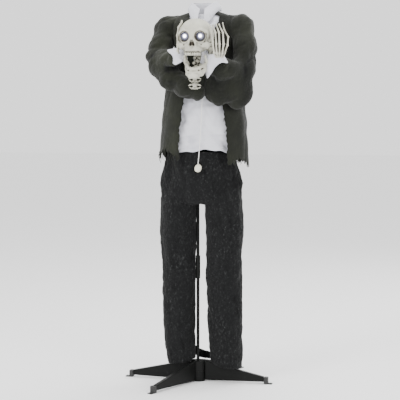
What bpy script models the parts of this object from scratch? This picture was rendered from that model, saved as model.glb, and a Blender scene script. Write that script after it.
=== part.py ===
"""Headless skeleton figure on a pole stand, holding its own talking skull in front of its chest.

Metres, +Z up, the figure faces -Y. Left in a name is the side towards -X. The origin is on the floor, on the axis
of the pole. Bodies: stand, folding lower bar, figure, arms with the skull, jaw, battery door and power switch.
"""

import math

import bmesh
import bpy
from mathutils import Matrix, Vector

# Driving dimensions
HEIGHT = 1.70                      # floor to the top of the collar
GAP = 0.0004                       # clearance that touching pieces keep
POLE_R = 0.007
POLE_BORE_R = POLE_R + GAP
TUBE_WALL = 0.0012

HUB_R = 0.034
HUB_TOP = 0.0915
HUB_SPLIT = 0.0455                 # height where the two stacked hubs meet
HUB_FLOOR = 0.004                  # closed bottom of the lower hub
LEG_START = HUB_R + 2 * GAP
LEG_END = 0.305
LEG_THICK = 0.020
LEG_TIP_TOP = 0.032
LEG_TIP_BOTTOM = 0.010
FOOT_LENGTH = 0.018
FOOT_WIDTH = 0.026
FOOT_HEIGHT = 0.031
TAB_LENGTH = 0.018
TAB_THICK = 0.0035
TAB_WIDTH = 0.022
STAKE_HOLE_R = 0.003
BAR_ANGLE = 66.0                   # between the two crossing bars, degrees

SLEEVE_LOW = 0.467                 # coupling sleeve of the pole
SLEEVE_HIGH = 0.570
SLEEVE_R = 0.0105
POLE_JOINT = 0.520
POLE_TOP = 0.955

TORSO_X = 0.030                    # middle of the torso
HIP_Z = 0.9755
HIP_SIZE = (0.285, 0.030, 0.034)
HOOP_R = 0.003                     # wire of the waist hoop
HOOP_HALF = (0.136, 0.078)
SPINE_R = 0.009
YOKE_R = 0.005
BUSH_R = 0.012                     # bushes that carry the shoulder axle
BUSH_HALF = 0.007
BUSH_LEFT = -0.048
BUSH_RIGHT = 0.108
NECK_TOP = 1.634
NECK_R = 0.025
AXLE_Y = 0.005                     # shoulder axle
AXLE_Z = 1.575
AXLE_R = 0.005
AXLE_LEFT = -0.118
AXLE_RIGHT = 0.178
MOTOR_SIZE = (0.062, 0.046, 0.056)

LEFT_SHOULDER = (-0.136, AXLE_Y, AXLE_Z)
LEFT_ELBOW = (-0.152, -0.088, 1.432)
LEFT_WRIST = (-0.052, -0.188, 1.452)
RIGHT_SHOULDER = (0.196, AXLE_Y, AXLE_Z)
RIGHT_ELBOW = (0.214, -0.095, 1.400)
RIGHT_WRIST = (0.146, -0.205, 1.425)
ARM_R = 0.0075
ELBOW_R = 0.014
KNUCKLE = 0.026

SKULL = (0.050, -0.225, 1.535)     # centre of the cranium
CRANIUM_R = (0.078, 0.090, 0.078)
SOCKET_X = 0.0335                  # half the distance between the eyes
SOCKET_Z = 1.532
SOCKET_R = 0.0200
JAW_PIN_Y = SKULL[1] + 0.018
JAW_PIN_Z = 1.470
JAW_PIN_R = 0.0025
NECK_STEM_R = 0.0060               # post that carries the neck bones under the skull
UPPER_NECK_Z = 1.3810              # tops of the two neck bones
LOWER_NECK_Z = 1.3440
LED_R = 0.0045

CLOTH = 0.0030                     # thickness of the garment shells
ARMHOLE_R = 0.053
ARMHOLE_LEFT = -0.185              # middles of the cutters that open the armholes
ARMHOLE_RIGHT = 0.245
CORD_R = 0.00175

COLLECTION = "skeleton_figure"


# ---------------------------------------------------------------- scene and materials

def clear_scene():
    for item in list(bpy.data.objects):
        bpy.data.objects.remove(item, do_unlink=True)


def new_collection(name):
    collection = bpy.data.collections.new(name)
    bpy.context.scene.collection.children.link(collection)
    return collection


def new_material(name, colour, roughness, metallic=0.0, glow=0.0):
    material = bpy.data.materials.new(name)
    material.use_nodes = True
    shader = material.node_tree.nodes["Principled BSDF"]
    shader.inputs["Base Color"].default_value = (*colour, 1.0)
    shader.inputs["Roughness"].default_value = roughness
    shader.inputs["Metallic"].default_value = metallic
    if glow:
        shader.inputs["Emission Color"].default_value = (*colour, 1.0)
        shader.inputs["Emission Strength"].default_value = glow
    return material


clear_scene()
PARTS = new_collection(COLLECTION)
CUTTERS = new_collection("cutters")
BLACK_STEEL = ((0.010, 0.010, 0.010), 0.40, 0.3)
BLACK_PLASTIC = ((0.012, 0.012, 0.012), 0.50, 0.0)
BARE_STEEL = ((0.55, 0.55, 0.56), 0.30, 1.0)
BONE = ((0.52, 0.51, 0.43), 0.55, 0.0)
LENS = ((0.30, 0.30, 0.38), 0.15, 0.0)
LIGHT = ((0.95, 0.95, 1.00), 0.30, 0.0, 4.0)
JACKET = ((0.030, 0.031, 0.023), 0.90, 0.0)
SHIRT = ((0.80, 0.80, 0.84), 0.85, 0.0)
GAUZE = ((0.016, 0.017, 0.017), 0.95, 0.0)
CREAM = ((0.80, 0.76, 0.62), 0.50, 0.0)


def finish(item, look):
    """Puts an object in the part's collection with a material of its own."""
    for collection in list(item.users_collection):
        collection.objects.unlink(item)
    PARTS.objects.link(item)
    item.data.materials.clear()
    item.data.materials.append(new_material(item.name + "_look", *look))
    return item


def as_cutter(item):
    for collection in list(item.users_collection):
        collection.objects.unlink(item)
    CUTTERS.objects.link(item)
    item.hide_render = True
    item.display_type = "WIRE"
    return item


def mesh_object(name, bm):
    mesh = bpy.data.meshes.new(name)
    bm.to_mesh(mesh)
    bm.free()
    item = bpy.data.objects.new(name, mesh)
    bpy.context.scene.collection.objects.link(item)
    return item


def smooth(item, degrees=40.0):
    item.data.shade_smooth()
    item.data.set_sharp_from_angle(angle=math.radians(degrees))
    return item


# ---------------------------------------------------------------- shape helpers

def block(name, size, centre, bevel=0.0, turn=0.0):
    """A box of the given size, turned about Z, with its edges bevelled."""
    bm = bmesh.new()
    bmesh.ops.create_cube(bm, size=1.0)
    bmesh.ops.scale(bm, vec=Vector(size), verts=bm.verts)
    item = mesh_object(name, bm)
    item.location = centre
    item.rotation_euler.z = turn
    if bevel:
        edge = item.modifiers.new("Bevel", "BEVEL")
        edge.width = bevel
        edge.segments = 1
    return item


def turned(name, profile, origin=(0.0, 0.0, 0.0), axis="Z", steps=20, solid=True):
    """A Screw of (radius, height) points that run down the outer side; a closed profile makes a ring."""
    bm = bmesh.new()
    verts = [bm.verts.new((r, 0.0, z)) for r, z in profile]
    pairs = list(zip(verts, verts[1:]))
    if not solid:
        pairs.append((verts[-1], verts[0]))
    for a, b in pairs:
        bm.edges.new((a, b))
    item = mesh_object(name, bm)
    screw = item.modifiers.new("Screw", "SCREW")
    screw.steps = steps
    screw.render_steps = steps
    screw.use_merge_vertices = True
    screw.merge_threshold = 0.00001
    item.location = origin
    if axis == "X":
        item.rotation_euler.y = math.radians(90.0)
    if axis == "Y":
        item.rotation_euler.x = math.radians(90.0)
    return item


def disc(name, radius, low, high, origin=(0.0, 0.0, 0.0), axis="Z", steps=20, edge=0.0):
    """A turned solid cylinder between two heights on its axis."""
    profile = [(0.0, high), (radius - edge, high), (radius, high - edge), (radius, low + edge),
               (radius - edge, low), (0.0, low)]
    if not edge:
        profile = [(0.0, high), (radius, high), (radius, low), (0.0, low)]
    return turned(name, profile, origin, axis, steps)


def ring(name, outer, inner, low, high, origin=(0.0, 0.0, 0.0), axis="Z", steps=20):
    """A turned hollow cylinder, open at both ends."""
    profile = [(outer, high), (outer, low), (inner, low), (inner, high)]
    return turned(name, profile, origin, axis, steps, solid=False)


def tube(name, points, radius, resolution=2, closed=False):
    """A round bar along a line of points."""
    curve = bpy.data.curves.new(name, "CURVE")
    curve.dimensions = "3D"
    curve.bevel_depth = radius
    curve.bevel_resolution = resolution
    curve.use_fill_caps = not closed
    line = curve.splines.new("POLY")
    line.points.add(len(points) - 1)
    for point, place in zip(line.points, points):
        point.co = (*place, 1.0)
    line.use_cyclic_u = closed
    item = bpy.data.objects.new(name, curve)
    bpy.context.scene.collection.objects.link(item)
    return item


def oval(centre, half_x, half_y, count):
    """Points round a level ellipse."""
    angles = [2.0 * math.pi * k / count for k in range(count)]
    return [(centre[0] + half_x * math.cos(a), centre[1] + half_y * math.sin(a), centre[2]) for a in angles]


def smooth_line(anchors, steps):
    """A smooth line through a few anchors."""
    ends = [2.0 * Vector(anchors[0]) - Vector(anchors[1]), 2.0 * Vector(anchors[-1]) - Vector(anchors[-2])]
    line = [ends[0], *(Vector(a) for a in anchors), ends[1]]
    points = []
    for k in range(1, len(line) - 2):
        a, b, c, d = line[k - 1:k + 3]
        for j in range(steps):
            t = j / steps
            points.append(0.5 * (2 * b + (c - a) * t + (2 * a - 5 * b + 4 * c - d) * t * t
                                 + (3 * b - a - 3 * c + d) * t ** 3))
    points.append(line[-2])
    return points


def rod(name, start, end, radius, trim_start, trim_end):
    """A straight bar between two points, cut short at each end."""
    a, b = Vector(start), Vector(end)
    along = (b - a).normalized()
    return tube(name, [a + along * trim_start, b - along * trim_end], radius)


def loft(name, rows, thickness, closed=True):
    """A cloth shell: rows of points joined by faces, made solid inwards."""
    bm = bmesh.new()
    grid = [[bm.verts.new(p) for p in row] for row in rows]
    for lower, upper in zip(grid, grid[1:]):
        count = len(lower)
        for k in range(count if closed else count - 1):
            j = (k + 1) % count
            bm.faces.new((lower[k], lower[j], upper[j], upper[k]))
    item = mesh_object(name, bm)
    wall = item.modifiers.new("Solidify", "SOLIDIFY")
    wall.thickness = thickness
    wall.offset = -1.0
    return item


def section(centre_x, centre_y, z, half_x, half_y, start=0.0, end=360.0, count=24):
    """Points of a level ellipse, counted anticlockwise from the front (-Y) through the +X side."""
    whole = end - start >= 360.0
    steps = count if whole else count - 1
    angles = [math.radians(start + (end - start) * k / steps) for k in range(count)]
    return [(centre_x + half_x * math.sin(a), centre_y - half_y * math.cos(a), z) for a in angles]


def boolean(item, cutter, operation):
    change = item.modifiers.new(operation.title(), "BOOLEAN")
    change.operation = operation
    change.solver = "EXACT"
    change.object = cutter
    return item


def balls(name, spheres, voxel, ratio):
    """One closed body from overlapping spheres and ellipsoids, wrapped and then thinned out."""
    bm = bmesh.new()
    for centre, radii, turn in spheres:
        place = Matrix.Translation(centre) @ turn @ Matrix.Diagonal((*radii, 1.0))
        bmesh.ops.create_icosphere(bm, subdivisions=3, radius=1.0, matrix=place)
    item = mesh_object(name, bm)
    wrap = item.modifiers.new("Remesh", "REMESH")
    wrap.mode = "VOXEL"
    wrap.voxel_size = voxel
    thin = item.modifiers.new("Decimate", "DECIMATE")
    thin.ratio = ratio
    return item


def chain(points, radius_start, radius_end, spacing=0.6):
    """Overlapping spheres along a line of points, for bones."""
    turn = Matrix.Identity(4)
    result = []
    total = sum((Vector(b) - Vector(a)).length for a, b in zip(points, points[1:]))
    walked = 0.0
    for a, b in zip(points, points[1:]):
        a, b = Vector(a), Vector(b)
        length = (b - a).length
        radius = min(radius_start, radius_end)
        count = max(1, round(length / (radius * spacing)))
        for k in range(count):
            t = k / count
            r = radius_start + (radius_end - radius_start) * (walked + t * length) / total
            result.append((a.lerp(b, t), (r, r, r), turn))
        walked += length
    result.append((Vector(points[-1]), (radius_end,) * 3, turn))
    return result


# ---------------------------------------------------------------- stand

def leg(name, degrees):
    """One tapered leg, standing on edge, from its hub to its foot."""
    bm = bmesh.new()
    outline = [(LEG_START, HUB_FLOOR), (LEG_END, LEG_TIP_BOTTOM), (LEG_END, LEG_TIP_TOP), (LEG_START, HUB_TOP)]
    face = bm.faces.new([bm.verts.new((r, -LEG_THICK / 2, z)) for r, z in outline])
    grown = bmesh.ops.extrude_face_region(bm, geom=[face])
    moved = [v for v in grown["geom"] if isinstance(v, bmesh.types.BMVert)]
    bmesh.ops.translate(bm, vec=(0.0, LEG_THICK, 0.0), verts=moved)
    bmesh.ops.recalc_face_normals(bm, faces=bm.faces)
    item = mesh_object(name, bm)
    edge = item.modifiers.new("Bevel", "BEVEL")
    edge.width = 0.002
    edge.segments = 1
    item.rotation_euler.z = math.radians(degrees)
    return finish(item, BLACK_STEEL)


def foot(name, degrees):
    """The moulded foot on a leg's tip: a block, and a flat tab with a hole for a ground stake."""
    turn = math.radians(degrees)
    out = Vector((math.cos(turn), math.sin(turn), 0.0))
    middle = LEG_END + GAP + FOOT_LENGTH / 2
    item = block(name, (FOOT_LENGTH, FOOT_WIDTH, FOOT_HEIGHT), out * middle + Vector((0, 0, FOOT_HEIGHT / 2)),
                 0.002, turn)
    tab_middle = LEG_END + GAP + FOOT_LENGTH + TAB_LENGTH / 2 - 0.003
    tab = as_cutter(block(name + "_tab", (TAB_LENGTH + 0.006, TAB_WIDTH, TAB_THICK),
                          out * tab_middle + Vector((0, 0, TAB_THICK / 2)), 0.0, turn))
    hole_at = LEG_END + GAP + FOOT_LENGTH + TAB_LENGTH * 0.55
    hole = as_cutter(disc(name + "_hole", STAKE_HOLE_R, -0.01, 0.02, out * hole_at, "Z", 12))
    boolean(item, tab, "UNION")
    boolean(item, hole, "DIFFERENCE")
    return finish(item, BLACK_PLASTIC)


def make_stand():
    upper = ring("hub_upper", HUB_R, POLE_BORE_R, HUB_SPLIT + GAP, HUB_TOP, steps=24)
    finish(smooth(upper), BLACK_STEEL)
    profile = [(0.0, HUB_FLOOR), (POLE_BORE_R, HUB_FLOOR), (POLE_BORE_R, HUB_SPLIT), (HUB_R, HUB_SPLIT),
               (HUB_R, 0.0), (0.0, 0.0)]
    finish(smooth(turned("hub_lower", profile, steps=24)), BLACK_STEEL)
    for name, degrees in (("right", 0.0), ("back", BAR_ANGLE), ("left", 180.0), ("front", BAR_ANGLE + 180.0)):
        leg("leg_" + name, degrees)
        foot("foot_" + name, degrees)
    lower = ring("lower_pole", POLE_R, POLE_R - TUBE_WALL, HUB_FLOOR + GAP, POLE_JOINT, steps=16)
    finish(smooth(lower), BLACK_STEEL)
    profile = [(SLEEVE_R - 0.001, SLEEVE_HIGH), (SLEEVE_R, SLEEVE_HIGH - 0.002), (SLEEVE_R, SLEEVE_LOW + 0.002),
               (SLEEVE_R - 0.001, SLEEVE_LOW), (POLE_BORE_R, SLEEVE_LOW), (POLE_BORE_R, SLEEVE_HIGH)]
    finish(smooth(turned("pole_coupler", profile, steps=20, solid=False)), BLACK_PLASTIC)


# ---------------------------------------------------------------- inner frame

def spine_x(z):
    """The spine leans from the pole's axis to the middle of the torso."""
    return TORSO_X * (z - HIP_Z) / (AXLE_Z - HIP_Z)


def make_frame():
    upper = ring("upper_pole", POLE_R, POLE_R - TUBE_WALL, POLE_JOINT + GAP, POLE_TOP, steps=16)
    finish(smooth(upper), BLACK_STEEL)
    hip_x = TORSO_X - 0.01
    hip = block("hip_block", HIP_SIZE, (hip_x, 0.0, POLE_TOP + GAP + HIP_SIZE[2] / 2), 0.003)
    finish(hip, BLACK_PLASTIC)
    hip_top = POLE_TOP + 2 * GAP + HIP_SIZE[2]
    hoop = tube("waist_hoop", oval((hip_x, 0.0, hip_top + HOOP_R), *HOOP_HALF, 24), HOOP_R, 1, closed=True)
    finish(hoop, BLACK_STEEL)
    top_z = AXLE_Z - MOTOR_SIZE[2] / 2 - 3 * GAP
    spine_ends = [(spine_x(hip_top), 0.0, hip_top + 2 * GAP), (spine_x(top_z), 0.0, top_z)]
    spine = tube("spine_tube", spine_ends, SPINE_R, 3)
    finish(spine, BLACK_STEEL)
    motor = block("arm_gearmotor", MOTOR_SIZE, (TORSO_X, AXLE_Y, AXLE_Z), 0.003)
    bore = as_cutter(disc("arm_gearmotor_bore", AXLE_R + GAP, -0.1, 0.1, (TORSO_X, AXLE_Y, AXLE_Z), "X", 16))
    finish(boolean(motor, bore, "DIFFERENCE"), BLACK_PLASTIC)
    for name, x in (("shoulder_bush_left", BUSH_LEFT), ("shoulder_bush_right", BUSH_RIGHT)):
        bush = ring(name, BUSH_R, AXLE_R + GAP, -BUSH_HALF, BUSH_HALF, (x, AXLE_Y, AXLE_Z), "X", 16)
        finish(smooth(bush), BLACK_PLASTIC)
    yoke_y = AXLE_Y + MOTOR_SIZE[1] / 2 + 0.0055
    anchors = [(-0.042, yoke_y - 0.010, 1.583), (-0.02, yoke_y, 1.590), (TORSO_X, yoke_y, 1.594),
               (0.08, yoke_y, 1.590), (0.102, yoke_y - 0.010, 1.583)]
    finish(tube("shoulder_yoke", smooth_line(anchors, 4), YOKE_R), BLACK_STEEL)
    stub_low = AXLE_Z + MOTOR_SIZE[2] / 2 + GAP
    profile = [(0.0, NECK_TOP), (0.014, NECK_TOP - 0.002), (0.022, NECK_TOP - 0.010), (NECK_R, NECK_TOP - 0.022),
               (NECK_R, stub_low), (0.0, stub_low)]
    finish(smooth(turned("neck_stub", profile, (TORSO_X, AXLE_Y, 0.0), steps=20)), BLACK_PLASTIC)


BOX_SIZE = (0.078, 0.030, 0.112)
BOX_WALL = 0.002
BOX_Z = 1.200
BOX_FRONT = 0.0100                 # the battery box starts behind the spine
DOOR_HEIGHT = 0.088
DOOR_THICK = 0.0025
DOOR_DROP = 0.010                  # the door's middle lies this far under the box's
SWITCH_RISE = 0.047                # the switch's slot lies this far over the box's middle
SPEAKER_Z = 1.300


def make_electrics():
    centre = Vector((spine_x(BOX_Z), BOX_FRONT + BOX_SIZE[1] / 2, BOX_Z))
    case = block("battery_box", BOX_SIZE, centre, 0.002)
    inner = (BOX_SIZE[0] - 2 * BOX_WALL, BOX_SIZE[1], BOX_SIZE[2] - 2 * BOX_WALL - 0.020)
    hollow = as_cutter(block("battery_box_hollow", inner, centre + Vector((0, BOX_WALL, -DOOR_DROP))))
    slot = as_cutter(block("battery_box_slot", (0.016, 0.008, 0.008), centre + Vector((0, BOX_SIZE[1] / 2, SWITCH_RISE))))
    boolean(case, hollow, "DIFFERENCE")
    finish(boolean(case, slot, "DIFFERENCE"), BLACK_PLASTIC)
    door_y = BOX_FRONT + BOX_SIZE[1] + GAP + DOOR_THICK / 2
    door_size = (BOX_SIZE[0], DOOR_THICK, DOOR_HEIGHT)
    door = block("battery_door", door_size, (centre.x, door_y, BOX_Z - DOOR_DROP), 0.0006)
    finish(door, BLACK_PLASTIC)
    switch_at = (centre.x - 0.004, centre.y + 0.0145, BOX_Z + SWITCH_RISE)
    switch = block("power_switch", (0.007, 0.0055, 0.006), switch_at)
    finish(switch, BARE_STEEL)
    profile = [(0.0, 0.016), (0.020, 0.016), (0.026, 0.012), (0.026, 0.009), (0.014, 0.003), (0.014, 0.0),
               (0.0, 0.0)]
    speaker = turned("speaker", profile, (spine_x(SPEAKER_Z), -SPINE_R - 0.001, SPEAKER_Z), "Y", 20)
    finish(smooth(speaker), BLACK_PLASTIC)


# ---------------------------------------------------------------- arms and hands

def make_arm(side, shoulder, elbow, wrist):
    mid = block("shoulder_joint_" + side, (KNUCKLE, KNUCKLE, KNUCKLE), shoulder, 0.004)
    finish(mid, BLACK_PLASTIC)
    upper = rod("upper_arm_" + side, shoulder, elbow, ARM_R, 0.0215, ELBOW_R + 2 * GAP)
    finish(upper, BLACK_STEEL)
    profile = [(ELBOW_R * math.sin(math.radians(a)), ELBOW_R * math.cos(math.radians(a)))
               for a in range(0, 181, 20)]
    finish(smooth(turned("elbow_" + side, profile, elbow, steps=14)), BLACK_PLASTIC)
    fore = rod("forearm_" + side, elbow, wrist, ARM_R, ELBOW_R + 2 * GAP, 0.0)
    finish(fore, BLACK_STEEL)


def hand_shape(mirror):
    """A skeletal hand in its own frame: wrist at the origin, fingers along +Z, palm facing +Y, thumb on +X."""
    turn = Matrix.Identity(4)
    shape = [((0.0, 0.0, 0.014), (0.020, 0.012, 0.014), turn), ((0.0, 0.0, 0.046), (0.034, 0.009, 0.036), turn)]
    fingers = (
        ((-0.029, 0.000, 0.072), (-0.036, 0.001, 0.100), (-0.038, 0.010, 0.124), (-0.036, 0.022, 0.136)),
        ((-0.011, 0.000, 0.080), (-0.013, 0.000, 0.116), (-0.013, 0.010, 0.146), (-0.012, 0.026, 0.160)),
        ((0.009, 0.000, 0.080), (0.011, 0.000, 0.118), (0.012, 0.010, 0.150), (0.012, 0.027, 0.163)),
        ((0.027, 0.000, 0.072), (0.033, 0.000, 0.106), (0.036, 0.010, 0.136), (0.036, 0.024, 0.148)),
        ((0.022, 0.000, 0.026), (0.046, 0.006, 0.048), (0.055, 0.014, 0.076), (0.054, 0.022, 0.094)),
    )
    for finger in fingers:
        shape += chain(finger, 0.0070, 0.0055)
    return [((c[0] * mirror, c[1], c[2]), r, t) for c, r, t in shape]


def hand(side, mirror, place):
    item = balls("hand_" + side, hand_shape(mirror), 0.0035, 0.12)
    item.matrix_world = place
    return finish(item, BONE)


def facing(origin, up, palm):
    """A frame with its Z along up and its Y as near palm as it goes."""
    z = Vector(up).normalized()
    x = Vector(palm).cross(z).normalized()
    y = z.cross(x)
    frame = Matrix((x, y, z)).transposed().to_4x4()
    return Matrix.Translation(origin) @ frame


def make_arms():
    axle = disc("shoulder_axle", AXLE_R, AXLE_LEFT, AXLE_RIGHT, (0.0, AXLE_Y, AXLE_Z), "X", 16)
    finish(smooth(axle), BARE_STEEL)
    make_arm("left", LEFT_SHOULDER, LEFT_ELBOW, LEFT_WRIST)
    make_arm("right", RIGHT_SHOULDER, RIGHT_ELBOW, RIGHT_WRIST)
    hand("left", -1.0, facing((-0.046, -0.204, 1.460), (0.02, -0.10, 1.0), (1.0, 0.15, 0.0)))
    hand("right", 1.0, facing((0.155, -0.232, 1.436), (0.03, -0.02, 1.0), (-0.80, 0.60, 0.0)))


# ---------------------------------------------------------------- skull

def skull_outline():
    """Cranium, brow, cheeks and upper jaw as overlapping ellipsoids."""
    x, y, z = SKULL
    turn = Matrix.Identity(4)
    shape = [((x, y, z), CRANIUM_R, turn),
             ((x, y + 0.012, z - 0.020), (0.066, 0.070, 0.058), turn),
             ((x, y - 0.066, z - 0.030), (0.050, 0.028, 0.040), turn),
             ((x, y - 0.074, z - 0.066), (0.030, 0.024, 0.022), turn)]
    for side in (-1.0, 1.0):
        shape.append(((x + side * 0.050, y - 0.052, z - 0.040), (0.020, 0.028, 0.016), turn))
        shape.append(((x + side * 0.034, y - 0.062, z + 0.018), (0.026, 0.024, 0.012), turn))
    return shape


def make_skull():
    x, y, z = SKULL
    skull = balls("skull_shell", skull_outline(), 0.0060, 0.12)
    bm = bmesh.new()
    inside = Matrix.Translation((x, y + 0.008, z - 0.002)) @ Matrix.Diagonal((0.064, 0.068, 0.064, 1.0))
    bmesh.ops.create_icosphere(bm, subdivisions=2, radius=1.0, matrix=inside)
    hollow = as_cutter(mesh_object("skull_hollow", bm))
    neck = as_cutter(disc("skull_neck_hole", 0.030, -0.110, -0.030, (x, y + 0.022, z), "Z", 16))
    boolean(hollow, neck, "UNION")
    boolean(skull, hollow, "DIFFERENCE")
    for name, side in (("left", -1.0), ("right", 1.0)):
        at = (x + side * SOCKET_X, 0.0, SOCKET_Z)
        socket = as_cutter(disc("socket_" + name, SOCKET_R, -y + 0.040, -y + 0.120, at, "Y", 20))
        boolean(skull, socket, "DIFFERENCE")
        front = -y + 0.071
        profile = [(0.0, front + 0.004), (0.008, front + 0.003), (0.0145, front), (SOCKET_R - GAP, front - 0.004),
                   (SOCKET_R - GAP, front - 0.008), (0.0, front - 0.008)]
        finish(smooth(turned("eye_lens_" + name, profile, at, "Y", 20)), LENS)
        led = disc("eye_led_" + name, LED_R, front - 0.020, front - 0.008 - GAP, at, "Y", 12)
        finish(smooth(led), LIGHT)
    pin_hole = as_cutter(disc("skull_pin_hole", JAW_PIN_R + GAP, -0.2, 0.2, (x, JAW_PIN_Y, JAW_PIN_Z), "X", 12))
    finish(boolean(skull, pin_hole, "DIFFERENCE"), BONE)
    motor = block("jaw_motor", (0.036, 0.030, 0.026), (x, JAW_PIN_Y + 0.026, z - 0.010), 0.002)
    finish(motor, BLACK_PLASTIC)
    upper = vertebra("neck_vertebra_upper", (x - 0.010, y + 0.012, UPPER_NECK_Z))
    stem = rod("neck_stem", (x - 0.010, y + 0.018, 1.366), (x - 0.002, y + 0.040, 1.503), NECK_STEM_R, 0.0, 0.0)
    boolean(upper, as_cutter(meshed(stem)), "UNION")
    vertebra("neck_vertebra_lower", (x - 0.010, y + 0.012, LOWER_NECK_Z))


def meshed(item):
    """A mesh object in place of a curve, its end caps welded."""
    bpy.context.view_layer.update()
    mesh = bpy.data.meshes.new_from_object(item.evaluated_get(bpy.context.evaluated_depsgraph_get()))
    bm = bmesh.new()
    bm.from_mesh(mesh)
    bmesh.ops.remove_doubles(bm, verts=bm.verts, dist=0.00001)
    bmesh.ops.transform(bm, matrix=item.matrix_world, verts=bm.verts)
    name = item.name
    bpy.data.objects.remove(item, do_unlink=True)
    return mesh_object(name, bm)


def vertebra(name, at):
    """A neck bone: a waisted drum with two side processes."""
    profile = [(0.0, 0.0), (0.017, 0.0), (0.019, -0.004), (0.0155, -0.014), (0.0190, -0.026), (0.017, -0.030),
               (0.0, -0.030)]
    drum = smooth(turned(name, profile, at, steps=16))
    wing = as_cutter(block(name + "_wing", (0.056, 0.012, 0.010), (at[0], at[1], at[2] - 0.014), 0.003))
    return finish(boolean(drum, wing, "UNION"), BONE)


def make_jaw():
    """The lower jaw at rest hangs wide open: two rami, a horseshoe body and the chin."""
    x = SKULL[0]
    turn = Matrix.Identity(4)
    shape = []
    for side in (-1.0, 1.0):
        ramus = [(x + side * 0.0560, JAW_PIN_Y, JAW_PIN_Z), (x + side * 0.054, JAW_PIN_Y + 0.004, 1.430),
                 (x + side * 0.048, JAW_PIN_Y - 0.004, 1.402)]
        shape += chain(ramus, 0.0090, 0.0095)
    front_y = JAW_PIN_Y - 0.076
    arch = []
    for k in range(13):
        a = math.radians(180.0 * k / 12)
        arch.append((x + 0.048 * math.cos(a), JAW_PIN_Y - 0.004 - 0.070 * math.sin(a),
                     1.402 - 0.014 * math.sin(a)))
    shape += chain(arch, 0.0115, 0.0115)
    shape.append(((x, front_y + 0.004, 1.374), (0.024, 0.012, 0.013), turn))
    jaw = balls("lower_jaw", shape, 0.0045, 0.15)
    hole = as_cutter(disc("jaw_pin_hole", JAW_PIN_R + GAP, -0.2, 0.2, (x, JAW_PIN_Y, JAW_PIN_Z), "X", 12))
    finish(boolean(jaw, hole, "DIFFERENCE"), BONE)
    pin = disc("jaw_pin", JAW_PIN_R, -0.070, 0.070, (x, JAW_PIN_Y, JAW_PIN_Z), "X", 12)
    finish(smooth(pin), BARE_STEEL)


# ---------------------------------------------------------------- clothes

def cut_armholes(item, label):
    for side, x in (("left", ARMHOLE_LEFT), ("right", ARMHOLE_RIGHT)):
        at = (x, AXLE_Y - 0.002, AXLE_Z - 0.008)
        hole = disc(label + "_armhole_" + side, ARMHOLE_R, -0.12, 0.12, at, "X", 20)
        boolean(item, as_cutter(hole), "DIFFERENCE")
    return item


def make_shirt():
    levels = ((1.045, 0.158, 0.094), (1.150, 0.150, 0.090), (1.300, 0.130, 0.078), (1.440, 0.112, 0.072),
              (1.560, 0.108, 0.070), (1.602, 0.102, 0.062), (1.624, 0.078, 0.050), (1.638, 0.052, 0.040))
    rows = [section(TORSO_X, 0.0, z, a, b) for z, a, b in levels]
    finish(cut_armholes(loft("shirt_body", rows, CLOTH), "shirt"), SHIRT)
    levels = ((1.6395, 0.052, 0.041), (1.665, 0.053, 0.043), (HEIGHT, 0.058, 0.048))
    rows = [section(TORSO_X, 0.0, z, a, b, 22.0, 338.0, 24) for z, a, b in levels]
    finish(loft("collar", rows, CLOTH, closed=False), SHIRT)


def make_jacket():
    levels = ((1.000, 0.205, 0.122), (1.100, 0.200, 0.118), (1.220, 0.190, 0.108), (1.320, 0.160, 0.092),
              (1.440, 0.124, 0.084), (1.560, 0.120, 0.082), (1.606, 0.114, 0.074), (1.632, 0.090, 0.062),
              (1.650, 0.062, 0.051))
    rows = [section(TORSO_X, 0.0, z, a, b, 35.0, 337.0, 26) for z, a, b in levels]
    finish(cut_armholes(loft("jacket_body", rows, CLOTH, closed=False), "jacket"), JACKET)


def sleeve(side, anchors, sizes, droops):
    """A jacket sleeve: rings square to the arm's line, their lower halves hanging down as a bag."""
    line = smooth_line(anchors, 3)
    rows = []
    last = len(line) - 1
    for k, centre in enumerate(line):
        along = (line[min(k + 1, last)] - line[max(k - 1, 0)]).normalized()
        t = k / last
        half = blend_of(sizes, t)
        droop = blend_of(droops, t)
        u = ring_side(along)
        v = u.cross(along).normalized()
        row = []
        for j in range(14):
            a = 2.0 * math.pi * j / 14
            p = centre + u * half * math.cos(a) + v * half * math.sin(a)
            p.z -= droop * max(0.0, -(v.z * math.sin(a) + u.z * math.cos(a)))
            row.append(p)
        rows.append(row)
    item = loft("sleeve_" + side, rows, CLOTH)
    return finish(item, JACKET)


def ring_side(along):
    """A steady sideways direction for the rings of a sleeve."""
    side = Vector((0.55, -0.70, 0.0)).cross(along)
    return side.normalized()


def blend_of(values, t):
    """Value at t, from 0 to 1, along evenly spaced values."""
    place = t * (len(values) - 1)
    k = min(int(place), len(values) - 2)
    return values[k] + (values[k + 1] - values[k]) * (place - k)


def make_sleeves():
    sleeve("left",
           [(-0.110, 0.002, 1.572), (-0.148, -0.014, 1.530), (-0.156, -0.064, 1.450), (-0.122, -0.122, 1.442),
            (-0.072, -0.166, 1.448)],
           (0.046, 0.047, 0.056, 0.050, 0.042), (0.0, 0.0, 0.05, 0.12, 0.12))
    sleeve("right",
           [(0.170, 0.002, 1.572), (0.212, -0.014, 1.530), (0.216, -0.062, 1.430), (0.190, -0.128, 1.405),
            (0.160, -0.182, 1.418)],
           (0.046, 0.047, 0.056, 0.050, 0.042), (0.0, 0.0, 0.05, 0.12, 0.12))


def cuff(side, wrist, along):
    z = Vector(along).normalized()
    x = z.cross(Vector((0.0, 0.0, 1.0))).normalized()
    y = z.cross(x)
    rows = []
    for step, radius in ((-0.004, 0.026), (0.016, 0.028)):
        row = []
        for j in range(16):
            a = 2.0 * math.pi * j / 16
            row.append(Vector(wrist) + z * step + x * radius * math.cos(a) + y * radius * math.sin(a))
        rows.append(row)
    finish(loft("cuff_" + side, rows, CLOTH), SHIRT)


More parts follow.
